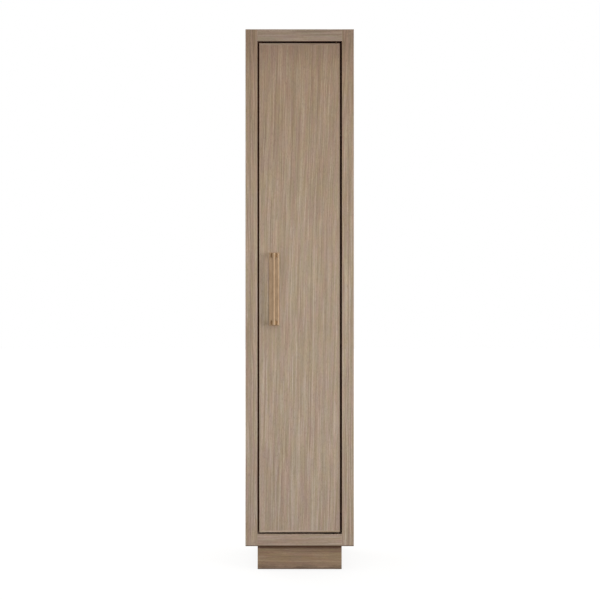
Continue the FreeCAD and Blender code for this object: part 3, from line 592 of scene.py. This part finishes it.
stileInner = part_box("face_stile_right")[0].x       # half the width of the opening
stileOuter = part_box("face_stile_right")[1].x
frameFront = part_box("face_stile_right")[0].y
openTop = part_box("face_rail_top")[0].z
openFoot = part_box("face_rail_bottom")[1].z
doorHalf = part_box("door_lipping_hinge")[1].x
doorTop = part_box("door_lipping_top")[1].z
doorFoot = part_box("door_lipping_bottom")[0].z
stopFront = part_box("door_stop")[0].y
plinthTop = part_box("plinth_front")[1].z


def seamMask(bench, spot):
    # the front line where a side meets its stile
    x, y, z = bench.parts(spot)
    off = bench.maths("ABSOLUTE", bench.maths("ABSOLUTE", x) - stileOuter)
    front = bench.step(y, frameFront + seam["backFrom"], frameFront + seam["backFull"])
    return bench.step(off, seam["from"], seam["full"]) * front


def gapShadeMask(bench, spot):
    # where the painted shade goes: the faces along the gap round the door, with their arrises,
    # back to the door stop
    x, y, z = bench.parts(spot)
    side = bench.maths("ABSOLUTE", x)
    turn = gapShade["reachTurn"]
    reach = bench.step(x, -turn, turn, gapShade["reachLeft"], gapShade["reachRight"])
    inOpening = bench.maths("MAXIMUM", side - stileInner, z - openTop) - reach
    offDoor = bench.maths("MAXIMUM", side - doorHalf, z - doorTop)
    offDoor = bench.maths("MAXIMUM", offDoor, doorFoot - z) + reach
    soft = gapShade["soft"]
    within = bench.step(inOpening, soft, -soft) * bench.step(offDoor, -soft, soft)
    within = within * bench.step(z, openFoot - gapShade["sillFrom"], openFoot - gapShade["sillTo"])
    before = bench.step(y, stopFront + gapShade["stopFrom"], stopFront + gapShade["stopTo"])
    footFrom, footTo = openFoot + gapShade["footFrom"], openFoot + gapShade["footTo"]
    return within * before * bench.step(z, footFrom, footTo, gapShade["atFoot"], 1.0)


def plinthShadeMask(bench, spot):
    # painted shade high on the plinth, under the overhang
    z = bench.parts(spot)[2]
    return bench.step(z, plinthTop - lowDarkening["overhangShadeFrom"], plinthTop - lowDarkening["overhangShadeFull"])


def footShadeMask(bench, spot, foot):
    # painted shade on the lowest few millimetres of a board: the carcass's lower edge over the
    # plinth, and the plinth's edge on the floor
    z = bench.parts(spot)[2]
    return bench.step(z, foot + lowDarkening["endShadeFrom"], foot + lowDarkening["endShadeFull"])


def plinthFootDarkMask(bench, spot):
    # the plinth darker in patches towards its foot
    z = bench.parts(spot)[2]
    marks = bench.noise(spot, lowDarkening["mottleSize"], 3.0, 0.65)
    low = bench.step(z, lowDarkening["mottleFrom"], lowDarkening["mottleFull"])
    marks = bench.step(marks, lowDarkening["footPatchFrom"], lowDarkening["footPatchFull"], lowDarkening["footDarkLeast"], 1.0)
    return low * marks


def swing(bench, place, size, width, detail=1.0):
    # how far the grain is bent aside, up to half of the width each way
    aside = bench.noise(place, size, detail, out="Color")
    aside = bench.vector("SUBTRACT", aside, (0.5, 0.5, 0.5))
    return bench.vector("MULTIPLY", aside, (width, width, 0.0))


def makeRings(bench, placed, cut, heart):
    # year rings round the heart, told apart by their distance from it
    x, y, z = bench.parts(placed)
    across = x - heart[0]
    through = y - heart[1] - z * oakLog["widening"]
    radius = (across * across + through * through) ** 0.5
    ring = radius / oakLog["ringWidth"] + cut * oakLog["ringGap"]
    values = {"W": ring, "Scale": 1.0, "Detail": 2.0, "Roughness": oakLog["ringRough"]}
    return bench.add("TexNoise", {"noise_dimensions": "1D"}, values)


def makeOak(node, look, along, cut, heart):
    material, bench = newMaterial("oak_" + node)
    spot = bench.spot()
    placed = bench.add("Mapping", values={"Vector": spot, "Rotation": turns[along]})
    if node in lean:
        x, y, z = bench.parts(placed)
        atFoot, faster = lean[node]
        leaning = x - z * (z * faster + atFoot)
        placed = bench.add("CombineXYZ", values={0: leaning, 1: y, 2: z})
    cutPlace = bench.vector("ADD", placed, [step * cut for step in cutStep])

    # the log sways a little along its length, so no line of grain is dead straight
    slow = swing(bench, cutPlace, oakLog["swaySize"], oakLog["sway"])
    quick = swing(bench, cutPlace, oakLog["wanderSize"], oakLog["wander"])
    bend = bench.vector("ADD", slow, quick)
    grain = bench.vector("ADD", cutPlace, bend)
    found = {"rings": makeRings(bench, bench.vector("ADD", placed, bend), cut, heart)}
    for name, (width, length, detail, rough) in oakPatterns.items():
        found[name] = bench.noise(grain, (width, width, length), detail, rough)
    pitted = found["pores"] + found["rings"] * oakFinish["ringPores"]
    pores = bench.step(pitted, oakFinish["poresFrom"], oakFinish["poresTo"])

    hueFrom, hueTo = oakFinish["hueFrom"], oakFinish["hueTo"]
    turned = bench.step(found["hue"], hueFrom, hueTo)
    colour = bench.mix(turned, tone(*look["olive"]), tone(*look["rose"]))
    colour = bench.mix(oakFinish["mainShare"], colour, tone(*look["main"]))
    for name, start, full, strength, other in oakLayers:
        shown = bench.step(found[name], start, full) * strength
        colour = bench.mix(shown, colour, tone(*look[other]))
    colour = bench.mix(pores * oakFinish["poreShare"], colour, tone(*look["pore"]))
    warmth = bench.step(found["warmth"], hueFrom, hueTo)
    tint = bench.mix(warmth, oakFinish["cool"], oakFinish["warm"])
    colour = bench.mix(1.0, colour, tint, "MULTIPLY")
    # a darker tone on some boards, painted shade on others
    if node in boardToneAndShade:
        colour = bench.mix(1.0, colour, boardToneAndShade[node], "MULTIPLY")
    # the uprights' tone by height, with painted shade at the top
    if along == "z":
        height = bench.parts(spot)[2] / cadHigh.z
        byHeight = bench.add("ValToRGB", {"stops": heightToneAndShade}, {0: height})
        colour = bench.mix(1.0, colour, byHeight, "MULTIPLY")

    # paler edges: wear from handling and painted highlight
    edge = bench.step(edgeDistance(bench, spot, node), arrisWearAndHighlight["from"], arrisWearAndHighlight["full"])
    patch = bench.noise(spot, arrisWearAndHighlight["patch"], 2.0)
    rubbedAndHighlit = edge * bench.step(patch, arrisWearAndHighlight["patchFrom"], arrisWearAndHighlight["patchTo"], arrisWearAndHighlight["least"], 1.0)
    colour = bench.mix(rubbedAndHighlit * arrisWearAndHighlight["strength"], colour, tone(*look["light"]))

    colour = bench.mix(seamMask(bench, spot) * seam["strength"], colour, tone(*seam["tone"]))
    # painted shade in the gap round the door
    shadow = gapShadeMask(bench, spot)
    foot = plinthTop
    if node.startswith("plinth"):
        foot = 0.0
        # painted shade high on the plinth, under the overhang, in place of the gap's
        shadow = plinthShadeMask(bench, spot) * lowDarkening["overhangShade"]
        # the plinth darker in patches towards its foot
        colour = bench.mix(plinthFootDarkMask(bench, spot) * lowDarkening["footDark"], colour, tone(*look["pore"]))
    # painted shade along the lowest edge of each carcass and plinth board
    if node.startswith(("plinth", "face", "side")):
        colour = bench.mix(footShadeMask(bench, spot, foot), colour, tone(*look["pore"]))
    # the painted shade goes on in one dark tone: in the gap, or high on the plinth
    colour = bench.mix(shadow, colour, tone(*gapShade["tone"]))

    roughness = oakFinish["roughness"] + (found["streaks"] - 0.5) * oakFinish["streakRough"]
    roughness = roughness + pores * oakFinish["poreRough"]
    roughness = roughness + rubbedAndHighlit * oakFinish["rubbedRough"] + shadow * oakFinish["shadeRough"]
    height = found["rings"] * oakFinish["ringHeight"]
    height = height + found["fibres"] * oakFinish["fibreHeight"] - pores
    bench.finish(
        Base_Color=colour,
        Roughness=roughness,
        Normal=bench.bump(height, oakFinish["depth"]),
        Coat_Weight=(1 - shadow) * look["coat"],
        Coat_Roughness=oakFinish["coatRough"],
        IOR=oakFinish["ior"],
    )
    return material


def dress(node, material):
    for slot in nodes[node].material_slots:
        slot.material = material


for node, (look, along, cut, heart) in boards.items():
    dress(node, makeOak(node, look, along, cut, heart))
print("oak boards finished:", len(boards))


# Timber that stays out of sight: pine bearers and blocks, ply back, beech dowels

paleTimbers = {
    # look: pale, dark, ring width, sway, roughness, strength of the rings
    "pine": ((206, 178, 138), (172, 132, 88), 0.0055, 0.03, 0.66, 0.6),
    "birchPly": ((196, 174, 143), (170, 143, 110), 0.016, 0.09, 0.58, 0.35),
    "beech": ((206, 170, 133), (180, 140, 104), 0.004, 0.01, 0.55, 0.35),
}

paleFigure = {
    # the same in all three
    "heart": (0.09, 0.13),
    "widening": 0.02,
    "swaySize": (0.12, 0.12, 0.5),
    "ringFrom": 0.45,          # a ring darkens from here, as a share of its width
    "ringFull": 0.95,          # to here, and ends sharply
    "fibreSize": (0.0007, 0.0007, 0.03),
    "fibreFrom": 0.4,
    "fibreFull": 0.75,
    "fibreShare": 0.22,
    "fibreRough": 0.2,
    "blotchSize": (0.04, 0.04, 0.3),
    "blotchFrom": 0.35,
    "blotchFull": 0.7,
    "blotchShare": 0.2,
    "depth": 0.00012,
    "ior": 1.46,
}

paleBoards = {
    # node: timber, way of the grain, slice of the log
    "back_panel": ("birchPly", "z", 31),
    "bearer_front": ("pine", "x", 32),
    "bearer_middle": ("pine", "x", 33),
    "bearer_back": ("pine", "x", 34),
    "plinth_corner_blocks": ("pine", "x", 35),
    "joint_dowels": ("beech", "x", 36),
}


def makePaleTimber(node, look, along, cut):
    pale, dark, ringWidth, sway, rough, strength = paleTimbers[look]
    material, bench = newMaterial(look + "_" + node)
    placed = bench.add("Mapping", values={"Vector": bench.spot(), "Rotation": turns[along]})
    cutPlace = bench.vector("ADD", placed, [step * cut for step in cutStep])
    bend = swing(bench, cutPlace, paleFigure["swaySize"], sway, 2.0)
    x, y, z = bench.parts(bench.vector("ADD", placed, bend))
    across = x - paleFigure["heart"][0]
    through = y - paleFigure["heart"][1] - z * paleFigure["widening"]
    radius = (across * across + through * through) ** 0.5
    late = bench.maths("FRACT", radius / ringWidth)
    ringFrom, ringFull = paleFigure["ringFrom"], paleFigure["ringFull"]
    rings = bench.step(late, ringFrom, ringFull) * bench.step(late, 1.0, ringFull)
    fibres = bench.noise(cutPlace, paleFigure["fibreSize"], 3.0, 0.6)
    blotch = bench.noise(cutPlace, paleFigure["blotchSize"], 2.0)
    colour = bench.mix(rings * strength, tone(*pale), tone(*dark))
    shown = bench.step(fibres, paleFigure["fibreFrom"], paleFigure["fibreFull"])
    colour = bench.mix(shown * paleFigure["fibreShare"], colour, tone(*dark))
    shown = bench.step(blotch, paleFigure["blotchFrom"], paleFigure["blotchFull"])
    colour = bench.mix(shown * paleFigure["blotchShare"], colour, tone(*dark))
    height = rings * 0.5 + fibres * 0.5
    bench.finish(
        Base_Color=colour,
        Roughness=rough + (fibres - 0.5) * paleFigure["fibreRough"],
        Normal=bench.bump(height, paleFigure["depth"]),
        IOR=paleFigure["ior"],
    )
    return material


for node, (look, along, cut) in paleBoards.items():
    dress(node, makePaleTimber(node, look, along, cut))
print("hidden timber finished:", len(paleBoards))


# Metals

metals = {
    # bright, dull, roughness, brush lines (x, y, z), strength of the dull patches
    "brushedBrass": ((178, 153, 126), (159, 134, 106), 0.62, (0.00022, 0.00022, 0.02), 0.5),
    # the feet's brass is darker and warmer than the plate's, as painted shade on the feet
    "shadedFootBrass": ((174, 144, 106), (152, 122, 88), 0.52, (0.02, 0.0002, 0.0002), 0.6),
    "castBrass": ((164, 136, 104), (136, 107, 76), 0.38, (0.003, 0.003, 0.003), 0.6),
    "darkBronze": ((84, 66, 50), (52, 40, 31), 0.42, (0.002, 0.002, 0.002), 0.7),
    "zincSteel": ((178, 179, 180), (140, 140, 142), 0.36, (0.0012, 0.0012, 0.0012), 0.6),
    "springSteel": ((172, 170, 166), (118, 114, 108), 0.28, (0.004, 0.004, 0.0006), 0.6),
    "nickel": ((190, 188, 182), (158, 155, 148), 0.22, (0.001, 0.001, 0.001), 0.4),
}

metalFigure = {
    "patchSize": (0.018, 0.018, 0.03),
    "wornFrom": 0.38,
    "wornFull": 0.70,
    "markSize": (0.004, 0.004, 0.006),
    "markFrom": 0.60,
    "markFull": 0.72,
    "brushFrom": 0.35,
    "brushFull": 0.65,
    "brushShare": 0.22,
    "brushRough": 0.16,
    "wornRough": 0.10,
    "markRough": 0.05,
    "depth": 0.00002,
}

metalNodes = {
    "castBrass": ["broom_hook_left", "broom_hook_middle", "broom_hook_right"],
    "darkBronze": [
        "pivot_plate_bottom", "pivot_pin_bottom", "pivot_plate_top", "pivot_socket_door",
        "pivot_barrel_top", "pivot_pin_top",
    ],
    "zincSteel": [
        "back_panel_screws", "underside_screws", "carcass_fitting_screws", "door_fitting_screws",
        "leveller_inserts", "shelf_pins", "catch_strikes", "handle_bolts",
    ],
    "springSteel": ["pivot_spring_top"],
    "nickel": ["catch_magnets"],
}


def makeMetal(name):
    bright, dull, rough, lines, patchy = metals[name]
    material, bench = newMaterial(name)
    spot = bench.spot()
    brush = bench.noise(spot, lines, 3.0, 0.6)
    patches = bench.noise(spot, metalFigure["patchSize"], 3.0, 0.6)
    marks = bench.noise(spot, metalFigure["markSize"], 2.0, 0.7)
    marks = bench.step(marks, metalFigure["markFrom"], metalFigure["markFull"])
    worn = bench.step(patches, metalFigure["wornFrom"], metalFigure["wornFull"]) * patchy
    colour = bench.mix(worn, tone(*bright), tone(*dull))
    shown = bench.step(brush, metalFigure["brushFrom"], metalFigure["brushFull"])
    colour = bench.mix(shown * metalFigure["brushShare"], colour, tone(*dull))
    roughness = rough + (brush - 0.5) * metalFigure["brushRough"]
    roughness = roughness + worn * metalFigure["wornRough"] + marks * metalFigure["markRough"]
    bench.finish(
        Base_Color=colour,
        Metallic=1.0,
        Roughness=roughness,
        Normal=bench.bump(brush, metalFigure["depth"]),
    )
    return material


finish = {name: makeMetal(name) for name in metals}
for name, members in metalNodes.items():
    for node in members:
        dress(node, finish[name])
print("metals finished:", len(metals))


# Plastics

plastics = {
    # colour, second colour, roughness, grain size, depth of the grain
    "nylon": ((46, 43, 40), (34, 31, 29), 0.48, 0.0009, 0.00003),
    "blackPlastic": ((46, 45, 44), (30, 29, 29), 0.55, 0.0007, 0.00006),
}

plasticFigure = {
    "grainFrom": 0.3,
    "grainFull": 0.7,
    "grainRough": 0.12,
    "mottleSize": (0.006, 0.006, 0.003),
    "mottleFrom": 0.5,
    "mottleFull": 0.72,
    "scuffShare": 0.3,
    "scuffRough": 0.12,
    "ior": 1.5,
}

clearDots = {
    "clear": (236, 236, 230),
    "hazy": (214, 213, 204),
    "hazeSize": (0.0012, 0.0012, 0.0012),
    "rough": 0.12,
    "hazeRough": 0.16,
    "seeThrough": 0.85,
    "ior": 1.49,
}


def makePlastic(name):
    first, second, rough, size, depth = plastics[name]
    material, bench = newMaterial(name)
    spot = bench.spot()
    grain = bench.noise(spot, (size, size, size), 2.0, 0.6)
    scuffs = bench.noise(spot, plasticFigure["mottleSize"], 3.0, 0.65)
    scuffs = bench.step(scuffs, plasticFigure["mottleFrom"], plasticFigure["mottleFull"])
    shown = bench.step(grain, plasticFigure["grainFrom"], plasticFigure["grainFull"])
    colour = bench.mix(shown, tone(*first), tone(*second))
    colour = bench.mix(scuffs * plasticFigure["scuffShare"], colour, tone(*first))
    roughness = rough + (grain - 0.5) * plasticFigure["grainRough"]
    bench.finish(
        Base_Color=colour,
        Roughness=roughness + scuffs * plasticFigure["scuffRough"],
        Normal=bench.bump(grain, depth),
        IOR=plasticFigure["ior"],
    )
    return material


def makeClearDots():
    material, bench = newMaterial("clearBumper")
    haze = bench.noise(bench.spot(), clearDots["hazeSize"], 2.0, 0.6)
    colour = bench.mix(haze, tone(*clearDots["clear"]), tone(*clearDots["hazy"]))
    bench.finish(
        Base_Color=colour,
        Roughness=clearDots["rough"] + haze * clearDots["hazeRough"],
        Transmission_Weight=clearDots["seeThrough"],
        IOR=clearDots["ior"],
    )
    return material


dress("pivot_washer_bottom", makePlastic("nylon"))
dress("door_bumpers", makeClearDots())
finish["blackPlastic"] = makePlastic("blackPlastic")
print("plastics finished")


# Door handle: bevelled backplate, round bar, two tapered feet

backplate = {
    "rim": 0.0024,           # thickness left at its edges
    "sideBevel": 0.0028,
    "endBevel": 0.0016,
    "soft": 0.00035,
}

handleBar = {
    "sides": 72,
    "endRound": 0.0015,
    "endSteps": 4,
}

handleFoot = {
    "taper": 0.57,           # width at the bar, as a share of the width at the plate
    "seat": 0.00002,         # room between the foot and the bar
    "cutPast": 0.002,        # how far the bar's hole is cut past the foot
    "soft": 0.0005,
}


def makeBackplate():
    low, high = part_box("handle_backplate")
    width, thick, length = high - low
    piece = startBlock("handleBackplate", Vector((low.x, high.y - backplate["rim"], low.z)), high)
    pick(piece, "faces", lambda middle, normal: normal.y < -facing)
    push((0, backplate["rim"] - thick, 0))
    across = 1 - 2 * backplate["sideBevel"] / width
    along = 1 - 2 * backplate["endBevel"] / length
    shrink((low + high) / 2, x=across, z=along)
    soften(piece, backplate["soft"])
    smooth(piece)
    fit(piece, "door", "handle_backplate", finish["brushedBrass"])


def makeHandleBar():
    low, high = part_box("handle_bar")
    radius = (high.x - low.x) / 2
    foot = ((low.x + high.x) / 2, high.y - radius, low.z)
    piece = startRod("handleBar", foot, high.z - low.z, radius, handleBar["sides"])
    pick(piece, "edges", lambda first, second: abs(first.z - second.z) < hair)
    bpy.ops.mesh.bevel(offset=handleBar["endRound"], segments=handleBar["endSteps"])
    smooth(piece)
    fit(piece, "door", "handle_bar", finish["brushedBrass"])
    return foot, radius


def makeHandleFeet(barFoot, barRadius):
    low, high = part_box("handle_foot_top")
    piece = startBlock("handleFoot", low, high)
    pick(piece, "faces", lambda middle, normal: normal.y < -facing)
    shrink((low + high) / 2, x=handleFoot["taper"])
    soften(piece, handleFoot["soft"])
    past = handleFoot["cutPast"]
    below = (barFoot[0], barFoot[1], low.z - past)
    hole = barRadius + handleFoot["seat"]
    cutter = startRod("cutter", below, high.z - low.z + 2 * past, hole, handleBar["sides"])
    apply(piece, "BOOLEAN", operation="DIFFERENCE", object=cutter)
    bpy.data.objects.remove(cutter)
    smooth(piece)
    for place in ("Top", "Bottom"):
        node = "handle_foot_" + place.lower()
        foot = copyTo(piece, "handleFoot" + place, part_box(node)[0] - low)
        fit(foot, "door", node, finish["shadedFootBrass"])
    bpy.data.objects.remove(piece)


makeBackplate()
barFoot, barRadius = makeHandleBar()
makeHandleFeet(barFoot, barRadius)
print("handle modelled")


# Knob behind the door that draws the upper pin down

releaseKnob = {
    "sides": 40,             # every second one is a groove
    "thick": 0.003,
    "groove": 0.0002,
    "rim": 0.0009,           # round the dish in its face
    "dish": 0.0003,
    "studRadius": 0.0015,
    "soft": 0.0003,
    "softSteps": 2,
}


def makeReleaseKnob():
    low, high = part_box("pivot_release_knob")
    radius = (high.x - low.x) / 2
    middle = (low + high) / 2
    thick, sides, groove = releaseKnob["thick"], releaseKnob["sides"], releaseKnob["groove"]
    foot = Vector((middle.x, high.y - thick, middle.z))
    piece = startRod("pinReleaseKnob", foot, thick, radius, sides, "y")
    step = math.tau / sides

    def isGroove(centre, normal):
        turn = math.atan2(centre.z - middle.z, centre.x - middle.x)
        return abs(normal.y) < sideOn and math.floor(turn / step) % 2 == 0

    pick(piece, "faces", isGroove)
    bpy.ops.mesh.inset(thickness=groove, depth=-groove, use_individual=True)
    pick(piece, "edges", lambda first, second: min(first.y, second.y) > high.y - hair)
    bpy.ops.mesh.bevel(offset=releaseKnob["soft"], segments=releaseKnob["softSteps"])
    pick(piece, "faces", lambda centre, normal: normal.y > facing)
    bpy.ops.mesh.inset(thickness=releaseKnob["rim"], depth=-releaseKnob["dish"])
    pick(piece, "faces", lambda centre, normal: normal.y < -facing)
    bpy.ops.mesh.inset(thickness=radius - releaseKnob["studRadius"])
    push((0, low.y - foot.y, 0))
    smooth(piece)
    fit(piece, "top_pin", "pivot_release_knob", finish["darkBronze"])


makeReleaseKnob()
print("release knob modelled")


# Levelling feet: a ribbed plastic pad, and a steel stem with its hexagon

levelPad = {
    "sides": 60,             # every second one stands back, as ribs to grip
    "height": 0.007,
    "round": 0.0013,
    "roundSteps": 3,
    "rib": 0.0005,
    "ribEdge": 0.0002,
    "underRim": 0.0025,
    "hollow": 0.0008,
}

levelStem = {
    "radius": 0.004,
    "root": 0.0035,          # at the bottom of the thread
    "pitch": 0.00125,
    "hexRadius": 0.0075,
    "hexHeight": 0.005,
    "hexSoft": 0.0005,
    "hexSteps": 2,
    "inPad": 0.0005,         # how far it starts inside the pad
    "neck": 0.0006,          # plain part above the hexagon
    "tip": 0.0006,
    "sides": 24,
}


def makeLevelPad(foot):
    radius, height = foot["radius"], levelPad["height"]
    piece = startRod("levellerPad", foot["middle"], height, radius, levelPad["sides"])
    pick(piece, "edges", lambda first, second: abs(first.z - second.z) < hair)
    bpy.ops.mesh.bevel(offset=levelPad["round"], segments=levelPad["roundSteps"])
    step = math.tau / levelPad["sides"]

    def isRib(centre, normal):
        turn = math.atan2(centre.y - foot["middle"].y, centre.x - foot["middle"].x)
        return abs(normal.z) < sideOn and math.floor(turn / step) % 2 == 0

    pick(piece, "faces", isRib)
    bpy.ops.mesh.inset(thickness=levelPad["ribEdge"], depth=-levelPad["rib"], use_individual=True)
    pick(piece, "faces", lambda centre, normal: normal.z < -facing)
    bpy.ops.mesh.inset(thickness=levelPad["underRim"], depth=-levelPad["hollow"])
    smooth(piece)
    return piece


def makeLevelStem(foot):
    radius, root = levelStem["radius"], levelStem["root"]
    start = foot["middle"] + Vector((0, 0, levelPad["height"] - levelStem["inPad"]))
    hexTop = levelPad["height"] + levelStem["hexHeight"]
    neck = hexTop + levelStem["neck"] - start.z
    stem = startRod("levellerStem", start, neck, radius, levelStem["sides"])
    pick(stem, "faces", lambda centre, normal: normal.z > facing)
    tip = levelStem["tip"]
    threaded = foot["top"] - tip - start.z - neck
    turnsOfThread = int(threaded / levelStem["pitch"])
    rise = threaded / turnsOfThread / 2
    for _ in range(turnsOfThread):
        push((0, 0, rise))
        shrink(foot["middle"], x=root / radius, y=root / radius)
        push((0, 0, rise))
        shrink(foot["middle"], x=radius / root, y=radius / root)
    push((0, 0, tip))
    shrink(foot["middle"], x=root / radius, y=root / radius)
    bpy.ops.object.mode_set(mode="OBJECT")

    hexRadius = levelStem["hexRadius"]
    hexagon = startRod("hexagon", start, hexTop - start.z, hexRadius, 6, turn=quarter / 3)
    pick(hexagon, "edges", lambda first, second: min(first.z, second.z) > hexTop - hair)
    bpy.ops.mesh.bevel(offset=levelStem["hexSoft"], segments=levelStem["hexSteps"])
    bpy.ops.object.mode_set(mode="OBJECT")
    stem.select_set(True)
    bpy.context.view_layer.objects.active = stem
    bpy.ops.object.join()
    smooth(stem, 30)
    return stem


def footOf(node):
    low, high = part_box(node)
    return Vector(((low.x + high.x) / 2, (low.y + high.y) / 2, low.z))


def makeLevellers():
    corners = ("front_left", "front_right", "back_left", "back_right")
    low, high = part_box("leveller_front_left")
    first = footOf("leveller_front_left")
    foot = {"middle": first, "radius": (high.x - low.x) / 2, "top": high.z}
    pad, stem = makeLevelPad(foot), makeLevelStem(foot)
    for corner in corners:
        node = "leveller_" + corner
        shift = footOf(node) - first
        padCopy = copyTo(pad, "levellerPad_" + corner, shift)
        fit(padCopy, node, node, finish["blackPlastic"])
        stemCopy = copyTo(stem, "levellerStem_" + corner, shift)
        fit(stemCopy, node, node, finish["zincSteel"])
    for pattern in (pad, stem):
        bpy.data.objects.remove(pattern)
    return len(corners)


print("levelling feet modelled:", makeLevellers())


def shortenSpring(node, joint):
    # the share of the spring's length left when the pin is drawn; the spring gets a mesh of its
    # own
    low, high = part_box(node)
    travel = next(entry["range_m"][1] for entry in frame["joints"] if entry["name"] == joint)
    keep = 1 - travel / (high.z - low.z)
    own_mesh(nodes[node])
    return keep


springLeft = shortenSpring("pivot_spring_top", "top_pin_draw")
print("share of the spring left when drawn:", round(springLeft, 2))
